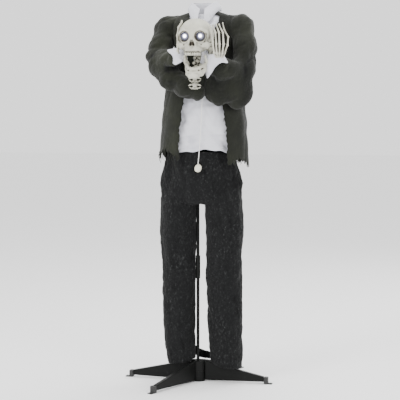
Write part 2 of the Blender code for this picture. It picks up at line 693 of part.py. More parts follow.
def make_cuffs():
    cuff("left", (-0.064, -0.176, 1.4496), (0.70, -0.70, 0.14))
    cuff("right", (0.153, -0.194, 1.422), (-0.50, -0.82, 0.18))


LEG_CENTRES = (("left", -0.090), ("right", 0.121))
LEG_TOP = 0.806


def make_trousers():
    levels = ((0.812, 0.186, 0.088), (0.880, 0.182, 0.092), (0.960, 0.168, 0.092), (1.036, 0.146, 0.084))
    rows = [section(0.016, 0.0, z, a, b) for z, a, b in levels]
    finish(loft("trouser_seat", rows, CLOTH), GAUZE)
    for side, x in LEG_CENTRES:
        levels = ((0.100, 0.076, 0.060), (0.300, 0.075, 0.058), (0.560, 0.077, 0.060), (LEG_TOP, 0.078, 0.072))
        rows = [section(x, 0.0, z, a, b, count=18) for z, a, b in levels]
        finish(loft("trouser_leg_" + side, rows, CLOTH), GAUZE)


# ---------------------------------------------------------------- hanging cord

CORD_ROUTE = [(0.046, -0.082, 1.618), (0.048, -0.092, 1.585), (0.048, -0.097, 1.52), (0.048, -0.099, 1.44),
              (0.048, -0.103, 1.36), (0.047, -0.107, 1.30), (0.046, -0.110, 1.262), (0.043, -0.114, 1.18),
              (0.039, -0.117, 1.10), (0.034, -0.119, 1.03), (0.030, -0.120, 0.985)]
SLIDER_Z = 1.278
BEAD_R = 0.0145


def make_cord():
    line = smooth_line(CORD_ROUTE, 4)
    finish(tube("pull_cord", line, CORD_R, 2), SHIRT)
    near = min(line, key=lambda p: abs(p.z - SLIDER_Z))
    profile = [(0.0030, 0.004), (0.0044, 0.002), (0.0044, -0.002), (0.0030, -0.004), (0.0024, -0.004),
               (0.0024, 0.004)]
    finish(turned("cord_slider", profile, near, steps=12, solid=False), CREAM)
    end = line[-1]
    profile = [(0.0, 0.0), (0.006, -0.001), (0.0125, -0.008), (BEAD_R, -0.016), (0.0115, -0.025),
               (0.005, -0.0315), (0.0, -0.032)]
    at = (end.x, end.y, end.z - GAP)
    finish(smooth(turned("cord_bead", profile, at, steps=14)), CREAM)


make_stand()
make_frame()
make_electrics()
make_arms()
make_skull()
make_jaw()
make_shirt()
make_jacket()
make_sleeves()
make_cuffs()
make_trousers()
make_cord()
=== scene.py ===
"""Looks of the headless skeleton figure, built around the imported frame: bones from smooth distance fields, clothes
from draped and creased sheets, and procedural materials on every piece."""

import math

import bmesh
import bpy
import numpy as np
from mathutils import Matrix, Vector


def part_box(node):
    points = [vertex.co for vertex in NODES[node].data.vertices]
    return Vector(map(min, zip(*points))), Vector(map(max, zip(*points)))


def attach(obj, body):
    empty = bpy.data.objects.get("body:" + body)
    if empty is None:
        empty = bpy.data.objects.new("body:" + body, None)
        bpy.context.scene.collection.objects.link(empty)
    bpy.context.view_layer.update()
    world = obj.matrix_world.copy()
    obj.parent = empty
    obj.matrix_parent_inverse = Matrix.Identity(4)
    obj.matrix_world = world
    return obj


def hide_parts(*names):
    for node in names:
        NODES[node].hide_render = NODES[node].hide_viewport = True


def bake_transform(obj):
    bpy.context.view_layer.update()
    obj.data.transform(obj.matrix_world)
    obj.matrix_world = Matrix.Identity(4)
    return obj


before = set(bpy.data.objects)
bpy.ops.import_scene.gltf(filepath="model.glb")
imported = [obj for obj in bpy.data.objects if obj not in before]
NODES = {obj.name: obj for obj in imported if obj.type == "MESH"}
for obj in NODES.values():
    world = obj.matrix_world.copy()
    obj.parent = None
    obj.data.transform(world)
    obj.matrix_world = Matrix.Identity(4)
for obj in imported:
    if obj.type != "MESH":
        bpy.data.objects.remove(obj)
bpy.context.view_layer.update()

TAU = 2.0 * math.pi


# ---- camera, light and floor

def aim(item, target):
    item.rotation_euler = (Vector(target) - item.location).to_track_quat("-Z", "Y").to_euler()


CAMERA_AZIMUTH = math.radians(14.0)
CAMERA_DISTANCE = 5.2
CAMERA_HEIGHT = 1.20
CAMERA_LENS_MM = 104.4
AIM_ASIDE = 0.009
AIM_DROP = CAMERA_DISTANCE * 0.0730       # how far below its own height the camera looks


def make_camera():
    ahead, aside = math.cos(CAMERA_AZIMUTH), math.sin(CAMERA_AZIMUTH)
    camera = bpy.data.objects.new("camera", bpy.data.cameras.new("camera"))
    camera.data.lens = CAMERA_LENS_MM
    camera.data.sensor_width = 36.0
    camera.location = (CAMERA_DISTANCE * aside, -CAMERA_DISTANCE * ahead, CAMERA_HEIGHT)
    bpy.context.scene.collection.objects.link(camera)
    aim(camera, (AIM_ASIDE * ahead, AIM_ASIDE * aside, CAMERA_HEIGHT - AIM_DROP))
    bpy.context.scene.camera = camera


def area_light(name, place, look_at, size, power):
    data = bpy.data.lights.new(name, "AREA")
    data.shape = "DISK"
    data.size = size
    data.energy = power
    item = bpy.data.objects.new(name, data)
    item.location = place
    bpy.context.scene.collection.objects.link(item)
    aim(item, (0.0, 0.0, look_at))


def make_stage():
    area_light("key", (-2.6, -4.2, 3.4), 1.0, 2.2, 190.0)
    area_light("fill", (3.6, -3.2, 2.2), 1.0, 2.6, 100.0)
    area_light("top", (0.3, 0.6, 4.2), 0.9, 2.4, 90.0)
    area_light("rim", (2.4, 3.4, 2.6), 1.2, 2.0, 75.0)
    world = bpy.data.worlds.new("studio")
    world.use_nodes = True
    sky = world.node_tree.nodes["Background"].inputs
    sky["Color"].default_value = (1.0, 1.0, 1.0, 1.0)
    sky["Strength"].default_value = 1.6
    bpy.context.scene.world = world
    bm = bmesh.new()
    bmesh.ops.create_grid(bm, x_segments=1, y_segments=1, size=30.0)
    floor = mesh_object("floor", bm)
    floor.data.materials.append(new_material("floor_pale", (0.94, 0.94, 0.94), 0.8))


# ---- materials

def new_material(name, colour, roughness, metallic=0.0):
    material = bpy.data.materials.new(name)
    material.use_nodes = True
    shader = material.node_tree.nodes["Principled BSDF"]
    shader.inputs["Base Color"].default_value = (*colour, 1.0)
    shader.inputs["Roughness"].default_value = roughness
    shader.inputs["Metallic"].default_value = metallic
    return material


class Nodes:
    """Short calls for building one material's node tree."""

    def __init__(self, name, roughness, metallic=0.0, sheen=0.0, specular=0.5):
        self.material = new_material(name, (0.5, 0.5, 0.5), roughness, metallic)
        self.tree = self.material.node_tree
        self.shader = self.tree.nodes["Principled BSDF"]
        self.shader.inputs["Sheen Weight"].default_value = sheen
        self.shader.inputs["Specular IOR Level"].default_value = specular
        self.place = self.tree.nodes.new("ShaderNodeTexCoord")

    def feed(self, socket, value):
        """Links a socket to another node's output, or sets its own value."""
        if isinstance(value, bpy.types.NodeSocket):
            self.tree.links.new(value, socket)
        else:
            socket.default_value = (*value, 1.0) if socket.type == "RGBA" else value

    def node(self, kind, inputs, output, **settings):
        node = self.tree.nodes.new("ShaderNode" + kind)
        for key, value in settings.items():
            setattr(node, key, value)
        for key, value in inputs.items():
            self.feed(node.inputs[key], value)
        return node.outputs[output]

    def mapped(self, stretch=(1.0, 1.0, 1.0), source="Object"):
        return self.node("Mapping", {"Scale": stretch, "Vector": self.place.outputs[source]}, "Vector")

    def noise(self, scale, detail=3.0, stretch=(1.0, 1.0, 1.0), rough=0.55):
        return self.node("TexNoise", {"Scale": scale, "Detail": detail, "Roughness": rough,
                                      "Vector": self.mapped(stretch)}, "Fac")

    def wave(self, scale, direction, source="UV", distortion=0.0):
        return self.node("TexWave", {"Scale": scale, "Distortion": distortion, "Detail": 0.0,
                                     "Vector": self.mapped(source=source)}, "Fac", bands_direction=direction)

    def voronoi(self, scale, stretch):
        return self.node("TexVoronoi", {"Scale": scale, "Vector": self.mapped(stretch)}, "Distance")

    def attribute(self, name):
        return self.node("Attribute", {}, "Fac", attribute_name=name)

    def ramp(self, fac, *stops):
        node = self.tree.nodes.new("ShaderNodeValToRGB")
        elements = node.color_ramp.elements
        while len(elements) < len(stops):
            elements.new(0.5)
        for element, (place, colour) in zip(elements, stops):
            element.position = place
            element.color = (*colour, 1.0)
        self.feed(node.inputs["Fac"], fac)
        return node.outputs["Color"]

    def grey(self, fac, low, high, start=0.0, end=1.0):
        return self.ramp(fac, (start, (low,) * 3), (end, (high,) * 3))

    def math(self, operation, a, b):
        return self.node("Math", {0: a, 1: b}, "Value", operation=operation)

    def mix(self, fac, a, b):
        return self.node("MixRGB", {0: fac, 1: a, 2: b}, "Color")

    def bump(self, height, strength, distance, under=None):
        inputs = {"Strength": strength, "Distance": distance, "Height": height}
        if under is not None:
            inputs["Normal"] = under
        return self.node("Bump", inputs, "Normal")

    def finish(self, colour=None, roughness=None, normal=None):
        for socket, value in (("Base Color", colour), ("Roughness", roughness), ("Normal", normal)):
            if value is not None:
                self.feed(self.shader.inputs[socket], value)
        return self.material


def weave(n, threads):
    """Over-and-under threads: the product of two waves across the cloth."""
    return n.math("MULTIPLY", n.wave(threads, "X"), n.wave(threads, "Y"))


def jacket_material():
    n = Nodes("jacket_cloth", 0.92, sheen=0.10, specular=0.15)
    patches = n.noise(3.2, 4.0, rough=0.6)
    streaks = n.noise(9.0, 4.0, (1.0, 1.0, 0.12))
    base = n.ramp(patches, (0.30, (0.0046, 0.0050, 0.0044)), (0.50, (0.0090, 0.0098, 0.0070)),
                  (0.76, (0.0230, 0.0250, 0.0155)))
    base = n.mix(n.grey(streaks, 0.0, 0.40, 0.45, 0.8), base, (0.0200, 0.0215, 0.0145))
    slub = n.noise(420.0, 2.0, (1.0, 1.0, 0.18))
    base = n.mix(n.grey(slub, 0.0, 0.40, 0.55, 0.78), base, (0.038, 0.040, 0.030))
    # painted shade: darker in the creases
    base = n.mix(n.attribute("crease_shade"), base, (0.0042, 0.0045, 0.0042))
    threads = weave(n, 210.0)
    height = n.math("ADD", threads, n.math("MULTIPLY", slub, 0.8))
    crumple = n.bump(n.noise(26.0, 5.0), 0.35, 0.010)
    return n.finish(base, n.grey(slub, 0.80, 0.98), n.bump(height, 0.40, 0.0008, crumple))


def shirt_material():
    n = Nodes("shirt_cloth", 0.85, sheen=0.15, specular=0.25)
    cloud = n.noise(6.0, 3.0)
    base = n.ramp(cloud, (0.25, (0.56, 0.565, 0.61)), (0.75, (0.66, 0.66, 0.70)))
    threads = weave(n, 300.0)
    base = n.mix(n.grey(threads, 0.10, 0.0, 0.0, 0.5), base, (0.50, 0.50, 0.56))
    # painted shade: darker grey-blue in the creases
    base = n.mix(n.math("MULTIPLY", n.attribute("crease_shade"), 0.35), base, (0.22, 0.22, 0.28))
    rumple = n.bump(n.noise(34.0, 4.0), 0.22, 0.006)
    return n.finish(base, n.grey(cloud, 0.78, 0.92), n.bump(threads, 0.30, 0.0006, rumple))


def gauze_material():
    n = Nodes("gauze_cloth", 0.96, sheen=0.05, specular=0.12)
    open_weave = n.voronoi(230.0, (1.0, 1.0, 0.75))
    crumple = n.noise(120.0, 4.0, (1.0, 1.0, 0.55), rough=0.7)
    cloud = n.noise(7.0, 4.0, (1.0, 1.0, 0.5))
    base = n.ramp(crumple, (0.38, (0.0040, 0.0042, 0.0043)), (0.56, (0.0130, 0.0135, 0.0138)),
                  (0.72, (0.060, 0.062, 0.062)), (0.85, (0.115, 0.118, 0.115)))
    base = n.mix(n.grey(open_weave, 0.0, 0.75, 0.30, 0.62), base, (0.0035, 0.0035, 0.0038))
    base = n.mix(n.grey(cloud, 0.55, 0.0, 0.38, 0.62), base, (0.006, 0.0062, 0.0065))
    # painted shade: darker in the creases
    base = n.mix(n.attribute("crease_shade"), base, (0.002, 0.002, 0.0022))
    height = n.math("SUBTRACT", crumple, n.math("MULTIPLY", open_weave, 0.6))
    return n.finish(base, n.grey(crumple, 0.82, 1.0), n.bump(height, 0.8, 0.004))


def bone_material(name, light, dark, shade_and_dirt=1.0):
    n = Nodes(name, 0.55, specular=0.35)
    blotch = n.noise(22.0, 5.0, rough=0.6)
    grain = n.noise(240.0, 3.0)
    base = n.ramp(blotch, (0.30, tuple(c * 0.74 for c in light)), (0.66, light))
    dirt = n.noise(70.0, 6.0, rough=0.72)
    base = n.mix(n.grey(dirt, 0.0, 0.50, 0.56, 0.74), base, tuple(c * 0.42 for c in light))
    cracks = n.voronoi(34.0, (1.0, 1.0, 0.6))
    base = n.mix(n.grey(cracks, 0.28, 0.0, 0.0, 0.10), base, dark)
    base = n.mix(n.grey(grain, 0.0, 0.22, 0.5, 0.8), base, tuple(c * 0.62 for c in light))
    # painted shade in recesses, broken by noise speckles of dirt, mixed toward the dark colour
    hollow = n.grey(n.math("ADD", n.attribute("hollow"), n.math("MULTIPLY", n.noise(60.0, 4.0), 0.35)),
                    0.0, shade_and_dirt, 0.36, 0.80)
    base = n.mix(hollow, base, dark)
    height = n.math("ADD", blotch, n.math("MULTIPLY", grain, 0.3))
    return n.finish(base, n.grey(blotch, 0.62, 0.42), n.bump(height, 0.25, 0.0015))


def steel_material():
    n = Nodes("black_steel", 0.4, specular=0.12)
    peel = n.noise(320.0, 2.0)
    scuff = n.noise(38.0, 6.0, rough=0.75)
    base = n.ramp(scuff, (0.62, (0.0050, 0.0053, 0.0050)), (0.78, (0.024, 0.024, 0.023)))
    return n.finish(base, n.grey(scuff, 0.30, 0.52, 0.3, 0.8), n.bump(peel, 0.25, 0.0006))


def plastic_material(name, colour, roughness):
    n = Nodes(name, roughness, specular=0.4)
    grain = n.noise(520.0, 2.0)
    cloud = n.noise(24.0, 3.0)
    base = n.ramp(cloud, (0.3, tuple(c * 0.82 for c in colour)), (0.7, colour))
    return n.finish(base, n.grey(grain, roughness - 0.08, roughness + 0.10), n.bump(grain, 0.3, 0.0004))


def zinc_material():
    n = Nodes("zinc_steel", 0.3, metallic=1.0)
    brush = n.noise(180.0, 3.0, (0.08, 1.0, 1.0))
    base = n.ramp(brush, (0.3, (0.42, 0.42, 0.43)), (0.7, (0.62, 0.62, 0.63)))
    return n.finish(base, n.grey(brush, 0.25, 0.45), n.bump(brush, 0.2, 0.0003))


def cord_material():
    n = Nodes("white_cord", 0.8, sheen=0.1, specular=0.3)
    twist = n.wave(340.0, "DIAGONAL", "Object", 1.5)
    base = n.ramp(twist, (0.0, (0.60, 0.59, 0.57)), (0.6, (0.84, 0.83, 0.81)))
    return n.finish(base, None, n.bump(twist, 0.5, 0.0006))


def glow_material(name, colour, strength):
    n = Nodes(name, 0.3)
    speck = n.noise(900.0, 2.0)
    base = n.ramp(speck, (0.0, tuple(c * 0.9 for c in colour)), (1.0, colour))
    n.shader.inputs["Emission Color"].default_value = (*colour, 1.0)
    n.shader.inputs["Emission Strength"].default_value = strength
    return n.finish(base)


def lens_material():
    """Smoky lavender lens, brightest where the light behind it shows through."""
    n = Nodes("eye_lens", 0.18, specular=0.6)
    near = n.attribute("glow")
    base = n.ramp(near, (0.0, (0.10, 0.10, 0.14)), (0.55, (0.26, 0.26, 0.34)), (1.0, (0.80, 0.80, 0.95)))
    n.feed(n.shader.inputs["Emission Color"],
           n.ramp(near, (0.0, (0.02, 0.02, 0.03)), (0.5, (0.16, 0.16, 0.24)), (0.85, (1.0, 1.0, 1.0))))
    n.shader.inputs["Emission Strength"].default_value = 1.6
    swirl = n.noise(90.0, 3.0)
    return n.finish(base, n.grey(swirl, 0.12, 0.3), n.bump(swirl, 0.1, 0.0006))


# ---- mesh helpers

def linked(mesh):
    item = bpy.data.objects.new(mesh.name, mesh)
    bpy.context.scene.collection.objects.link(item)
    return item


def mesh_object(name, bm):
    mesh = bpy.data.meshes.new(name)
    bm.to_mesh(mesh)
    bm.free()
    return linked(mesh)


def from_arrays(name, points, faces):
    mesh = bpy.data.meshes.new(name)
    mesh.from_pydata([tuple(p) for p in points], [], [tuple(int(i) for i in f) for f in faces])
    mesh.update()
    mesh.shade_smooth()
    return linked(mesh)


def ring_faces(rings, count):
    """Quads between closed rings of points that follow one another."""
    pairs = [(k, (k + 1) % count) for k in range(count)]
    return [(j + a, j + count + a, j + count + b, j + b) for j in range(0, (rings - 1) * count, count)
            for a, b in pairs]


def vertex_normals(item):
    normals = np.zeros((len(item.data.vertices), 3), np.float32)
    item.data.vertices.foreach_get("normal", normals.reshape(-1))
    return normals


def store(item, name, values):
    layer = item.data.attributes.new(name, "FLOAT", "POINT")
    layer.data.foreach_set("value", np.asarray(values, np.float32))


def dress(item, body, material, slot_name, *nodes):
    """Gives a piece its material and its body, and hides the CAD nodes that it stands for."""
    item.data.materials.clear()
    item.data.materials.append(material)
    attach(item, body)
    if nodes:
        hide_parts(*nodes)
    return item


# ---- distance fields

MM = 0.001


def grid(low, high, step):
    """A grid of points in millimetres between two corners."""
    axes = [np.arange(a, b + step, step, dtype=np.float32) for a, b in zip(low, high)]
    return np.meshgrid(*axes, indexing="ij", sparse=True), np.array(low, float)


def ellipsoid(p, centre, radii):
    q = [(p[i] - centre[i]) / radii[i] for i in range(3)]
    k0 = np.sqrt(q[0] ** 2 + q[1] ** 2 + q[2] ** 2)
    k1 = np.sqrt((q[0] / radii[0]) ** 2 + (q[1] / radii[1]) ** 2 + (q[2] / radii[2]) ** 2)
    return k0 * (k0 - 1.0) / np.maximum(k1, 1e-6)


def capsule(p, a, b, ra, rb):
    """A rounded bar from a to b whose radius goes from ra to rb."""
    d = [b[i] - a[i] for i in range(3)]
    q = [p[i] - a[i] for i in range(3)]
    h = np.clip((q[0] * d[0] + q[1] * d[1] + q[2] * d[2]) / max(sum(c * c for c in d), 1e-9), 0.0, 1.0)
    return np.sqrt(sum((q[i] - d[i] * h) ** 2 for i in range(3))) - (ra + (rb - ra) * h)


def path_field(p, points, radii, blend):
    field = None
    for k in range(len(points) - 1):
        part = capsule(p, points[k], points[k + 1], radii[k], radii[k + 1])
        field = part if field is None else join(field, part, blend)
    return field


def join(a, b, k):
    h = np.clip(0.5 + 0.5 * (b - a) / k, 0.0, 1.0)
    return b + (a - b) * h - k * h * (1.0 - h)


def carve(a, b, k):
    return -join(-a, b, k)


def polygonize(field, low, step):
    """Surface nets: a point in each cell that the surface crosses, and a quad across each crossed grid edge."""
    inside = field < 0.0
    cells = np.array(field.shape) - 1
    total = int(np.prod(cells))
    sums = np.zeros((3, total))
    hits = np.zeros(total)
    quads = []
    for axis in range(3):
        a, b = (axis + 1) % 3, (axis + 2) % 3
        count = field.shape[axis] - 1
        first = np.take(inside, np.arange(count), axis)
        second = np.take(inside, np.arange(1, count + 1), axis)
        at = np.argwhere(first != second)
        after = at.copy()
        after[:, axis] += 1
        f0, f1 = field[tuple(at.T)], field[tuple(after.T)]
        points = at.astype(float)
        points[:, axis] += f0 / (f0 - f1)
        ring = []
        for da, db in ((0, 0), (-1, 0), (-1, -1), (0, -1)):
            cell = at.copy()
            cell[:, a] += da
            cell[:, b] += db
            index = np.ravel_multi_index(tuple(cell.T), tuple(cells))
            ring.append(index)
            hits += np.bincount(index, minlength=total)
            for c in range(3):
                sums[c] += np.bincount(index, weights=points[:, c], minlength=total)
        quad = np.stack(ring, 1)
        quads.append(np.where((f0 < 0.0)[:, None], quad, quad[:, ::-1]))
    used = np.flatnonzero(hits)
    number = np.full(total, -1)
    number[used] = np.arange(len(used))
    points = low + step * (sums[:, used] / hits[used]).T
    return points, number[np.concatenate(quads)]


def sample(field, low, step, points):
    """The field's value at points, by linear interpolation."""
    q = np.clip((points - low) / step, 0.0, np.array(field.shape) - 1.001)
    i = q.astype(int)
    t = q - i
    value = 0.0
    for dx in (0, 1):
        for dy in (0, 1):
            for dz in (0, 1):
                w = np.abs(1 - dx - t[:, 0]) * np.abs(1 - dy - t[:, 1]) * np.abs(1 - dz - t[:, 2])
                value = value + w * field[i[:, 0] + dx, i[:, 1] + dy, i[:, 2] + dz]
    return value


def bone_piece(name, field, low, step, origin):
    """A mesh from a field in millimetres, with an attribute that tells how far each point lies in a recess, to darken
    its colour there as painted shade.
    """
    points, faces = polygonize(field, low, step)
    item = from_arrays(name, points, faces)
    normals = vertex_normals(item)
    hollow = 0.0
    # painted shade: occlusion, read from the field a few millimetres out along each normal
    for reach in (3.0, 7.0):
        hollow = hollow + 0.5 * np.clip(1.0 - sample(field, low, step, points + normals * reach) / reach, 0.0, 1.0)
    store(item, "hollow", hollow)
    item.data.transform(Matrix.Translation(origin) @ Matrix.Diagonal((MM, MM, MM, 1.0)))
    return item


def carved(name, low, high, make_field, finish, *nodes, body="arms", origin=None):
    """A bone piece of the skull or hands between two corners in millimetres, dressed."""
    p, corner = grid(low, high, BONE_STEP)
    piece = bone_piece(name, make_field(p), corner, BONE_STEP, origin or SKULL_AT)
    return dress(piece, body, finish, "bone_plastic", *nodes)


# ---- skull, jaw and neck bones

SKULL_AT = Vector((0.050, -0.225, 1.535))      # middle of the cranium, as in the frame
BONE_STEP = 1.3


def mirrored(p):
    """Points with their distance from the middle plane in place of x, so that one form makes a pair."""
    return np.abs(p[0]), p[1], p[2]


def roughened(field, p, scale, depth):
    """A slow ripple over a field, so that a bone isn't a perfect form."""
    x, y, z = (c / scale for c in p)
    ripple = np.sin(x + 1.3) * np.sin(y * 1.17 + 0.4) * np.sin(z * 0.91 + 2.2)
    finer = np.sin(x * 2.3 + 0.7) * np.sin(z * 2.6 + 1.9) * np.sin(y * 2.1)
    return field + depth * (ripple + 0.5 * finer)


def arch(angle, half_width, front, depth):
    """A point of a horseshoe, angle 0 at the front."""
    a = math.radians(angle)
    return half_width * math.sin(a), front + depth * (1.0 - math.cos(a))


def tooth_row(field, p, half_width, front, depth, z, tilt, size, angles):
    """Teeth along a horseshoe; p holds the distance from the middle plane, so each tooth stands for a pair."""
    for angle in angles:
        x, y = arch(angle, half_width, front, depth)
        grown = 1.0 + 0.12 * math.sin(angle * 0.7)
        tooth = ellipsoid(p, (x, y, z + tilt * (y - front)), (size[0] * grown, size[1] * grown, size[2]))
        field = join(field, tooth, 1.6)
    return field


def skull_field(p):
    """The skull without its jaw, from the middle of the cranium, facing -Y."""
    q = mirrored(p)
    f = ellipsoid(q, (0, 4, 3), (73, 86, 72))
    f = join(f, ellipsoid(q, (0, -28, 16), (60, 52, 50)), 18)
    f = join(f, ellipsoid(q, (0, -48, -34), (46, 32, 40)), 16)
    f = join(f, path_field(q, ((8, -78, 8), (34, -74, 17), (57, -56, 10), (63, -40, -8)), (7, 7.5, 6.5, 6), 6), 9)
    f = carve(f, ellipsoid(q, (90, -36, -4), (24, 30, 30)), 12)
    cheek = join(ellipsoid(q, (45, -57, -38), (19, 15, 15)), ellipsoid(q, (55, -44, -43), (11, 16, 13)), 10)
    cheek = join(cheek, ellipsoid(q, (46, -56, -52), (9, 8, 7)), 6)
    f = join(f, cheek, 10)
    f = join(f, path_field(q, ((60, -42, -38), (69, -16, -36), (68, 8, -34)), (7.5, 5.5, 6.5), 5), 7)
    f = join(f, ellipsoid(q, (54, 20, -50), (12, 14, 18)), 8)
    f = join(f, ellipsoid(q, (0, -64, -60), (35, 26, 20)), 9)
    f = join(f, ellipsoid(q, (0, -52, -74), (30, 27, 13)), 8)
    f = join(f, path_field(q, ((0, -80, 4), (0, -88, -14)), (8, 6), 4), 7)
    f = join(f, path_field(q, ((6, -85, -18), (14, -82, -34), (15, -80, -46)), (4, 4.5, 4.5), 3), 6)
    rim = np.sqrt((np.sqrt((q[0] - 34) ** 2 + (q[2] + 6) ** 2) - 22.5) ** 2 + (q[1] + 77 - 0.22 * (q[0] - 34)) ** 2)
    f = join(f, rim - 2.2, 9)
    f = carve(f, capsule(q, (34, -104, -6), (33, -58, -6), 20.4, 19.4), 3)
    for y0 in (-94, -86, -76):
        f = carve(f, path_field(q, ((2.6, y0, -19), (5.2, y0, -30), (7.4, y0, -40)), (2.6, 4.6, 6.2), 2), 2)
    f = join(f, capsule(q, (0, -78, -16), (0, -76, -46), 1.4, 1.4), 1.2)
    f = join(f, ellipsoid(q, (0, -89, -51), (4, 5, 4)), 3)
    f = carve(f, ellipsoid(q, (71, -26, -20), (9, 12, 8)), 4)
    f = carve(f, capsule(q, (36, -84, -39), (38, -66, -40), 2.4, 2.0), 2.5)
    f = carve(f, capsule(q, (52, -82, -50), (52, -66, -52), 2.0, 1.6), 2.5)
    f = carve(f, ellipsoid(q, (46, -64, -72), (14, 20, 12)), 7)
    f = carve(f, path_field(q, ((0, -92, -67), (20, -86, -68), (34, -66, -69)), (1.8, 1.8, 1.5), 1), 3)
    f = tooth_row(f, q, 32, -89, 30, -78.5, 0.02, (4.0, 3.4, 7.0), (7, 21, 35, 49, 63, 77))
    f = carve(f, ellipsoid(q, (0, -54, -92), (23, 26, 12)), 5)
    for a, b in (((20, -74, 66), (10, -66, 62)), ((10, -66, 62), (16, -50, 70)), ((16, -50, 70), (4, -38, 76))):
        f = carve(f, capsule(p, a, b, 1.0, 0.8), 1.0)
    for a, b in (((-44, -52, 44), (-50, -38, 46)), ((-50, -38, 46), (-48, -24, 52)), ((-50, -38, 46), (-58, -30, 38))):
        f = carve(f, capsule(p, a, b, 0.9, 0.7), 1.0)
    f = carve(f, capsule(q, (0, 20, -110), (0, 20, -40), 26, 22), 4)
    return roughened(f, p, 9.0, 0.35)


def jaw_field(p):
    """The lower jaw, hanging open: rami, horseshoe, chin and lower teeth."""
    q = mirrored(p)
    f = path_field(q, ((56, 14, -66), (52, 14, -92), (47, 16, -116)), (6.0, 6.5, 8.0), 6)
    f = join(f, path_field(q, ((46, 12, -114), (46, -14, -104), (45, -33, -84)), (7.0, 6.0, 4.2), 6), 9)
    f = join(f, capsule(q, (50, -4, -88), (47, -8, -112), 4.6, 5.2), 9)
    ridge = path_field(q, ((44, 6, -110), (36, -26, -128), (22, -50, -139), (0, -58, -142)), (6, 6.5, 6.5, 7), 6)
    base = path_field(q, ((46, 24, -120), (40, -6, -142), (30, -34, -160), (17, -54, -169), (0, -59, -171)),
                      (7, 7.5, 8, 8, 8), 7)
    middle = path_field(q, ((45, 12, -114), (38, -18, -138), (25, -46, -153), (0, -60, -157)), (6, 6.5, 7, 7), 7)
    f = join(f, join(join(ridge, middle, 8), base, 8), 8)
    f = join(f, ellipsoid(q, (8, -62, -170), (14, 7, 9)), 7)
    f = carve(f, path_field(q, ((0, -68, -150), (20, -60, -148), (34, -34, -136)), (2.0, 1.8, 1.4), 1), 4)
    for k, (tx, ty, tz) in enumerate(((4, -60.5, -138), (12, -58.5, -137), (19.5, -54, -134.5), (26, -46, -131),
                                      (31, -37, -127), (35.5, -27, -122.5), (39.5, -17, -117.5))):
        f = join(f, ellipsoid(q, (tx, ty, tz), (3.8, 3.3, 7.0 - 0.25 * k)), 1.6)
    return roughened(f, p, 8.0, 0.3)


def vertebra_field(p):
    """A neck bone hanging below height 0: a waisted body with ragged wings at its top and bottom."""
    q = mirrored(p)
    f = capsule(q, (0, 0, -10), (0, 0, -17), 9.5, 9.0)
    f = join(f, ellipsoid(q, (0, 0, -4), (15, 14, 3.6)), 4)
    f = join(f, ellipsoid(q, (0, 0, -23), (14, 13, 3.2)), 4)
    f = join(f, path_field(q, ((6, -3, -6), (17, -5, -7), (26, -4, -11)), (4.0, 3.2, 2.6), 3), 3)
    f = join(f, path_field(q, ((8, 2, -20), (17, 0, -21), (24, -2, -17)), (3.4, 2.8, 2.2), 3), 3)
    f = join(f, capsule(q, (9, -7, -21), (13, -8, -26), 2.6, 1.8), 2)
    f = carve(f, ellipsoid(q, (12, -11, -13), (5, 6, 4)), 2)
    return roughened(f, p, 4.0, 0.8)


def throat_field(p):
    """The knobbly post between the skull's base and the neck bones, seen through the open mouth."""
    f = path_field(p, ((-10, 16, -168), (-8, 22, -140), (-5, 30, -112), (-2, 38, -80), (0, 42, -64)),
                   (9, 11, 12, 13, 12), 5)
    for cx, cy, cz, r in ((-14, 8, -112, 8), (2, 12, -104, 9), (-4, 10, -128, 8), (12, 20, -118, 7),
                          (-18, 20, -132, 6), (8, 16, -92, 8), (-12, 22, -90, 8)):
        f = join(f, ellipsoid(p, (cx, cy, cz), (r, r, r * 0.8)), 3)
    return roughened(f, p, 4.0, 0.8)


def darken_face_shade_and_dirt(skull):
    """Painted shade in the nose hole, along the gum line and in the temple hollows, dirt under the cheeks, and darker
    round the eyes, added to the recess attribute.
    """
    at = (np.array([v.co for v in skull.data.vertices]) - np.array(SKULL_AT)) / MM
    x, y, z = np.abs(at[:, 0]), at[:, 1], at[:, 2]
    front = y < -30.0
    eye = np.exp(-((np.hypot(x - 34.0, z + 5.0) - 21.5) / 2.6) ** 2) * 0.75
    nose = np.where((x / 13.0) ** 2 + ((z + 33.0) / 17.0) ** 2 < 1.0, np.clip((y + 84.0) / 4.0, 0.0, 1.0), 0.0)
    cheek = np.exp(-((x - 47.0) / 16.0) ** 2 - ((z + 54.0) / 7.0) ** 2) * 0.45
    temple = np.exp(-((x - 66.0) / 9.0) ** 2 - ((z + 8.0) / 16.0) ** 2 - ((y + 34.0) / 14.0) ** 2) * 0.6
    gum = np.exp(-((z + 70.5) / 2.2) ** 2) * 0.5
    layer = skull.data.attributes["hollow"].data
    old = np.zeros(len(at), np.float32)
    layer.foreach_get("value", old)
    shade_and_dirt = np.maximum.reduce([old, eye * front, nose * front, cheek * front, temple, gum * front])
    layer.foreach_set("value", shade_and_dirt.astype(np.float32))


VERTEBRA_TOPS = {"neck_vertebra_upper": 1366.0, "neck_vertebra_lower": 1337.5}


def make_head(bone, bone_dark):
    skull = carved("skull_carved", (-82, -98, -98), (82, 98, 84), skull_field, bone, "skull_shell")
    darken_face_shade_and_dirt(skull)
    carved("jaw_carved", (-70, -78, -190), (70, 46, -50), jaw_field, bone, "lower_jaw", "jaw_pin", body="jaw")
    carved("throat_bones", (-40, -12, -186), (36, 66, -50), throat_field, bone_dark)
    for name, top in VERTEBRA_TOPS.items():
        carved(name + "_carved", (-34, -22, -36), (34, 22, 6), vertebra_field, bone, name,
               origin=(0.040, -0.213, top * MM))


def disc_rows(name, profile, centre, count=40):
    """A surface turned about the Y axis through centre, from (radius, depth) points in millimetres."""
    points = []
    for r, y in np.array(profile) * MM:
        for k in range(count):
            a = TAU * k / count
            points.append((centre[0] + r * math.cos(a), centre[1] + y, centre[2] + r * math.sin(a)))
    return from_arrays(name, points, [face[::-1] for face in ring_faces(len(profile), count)])


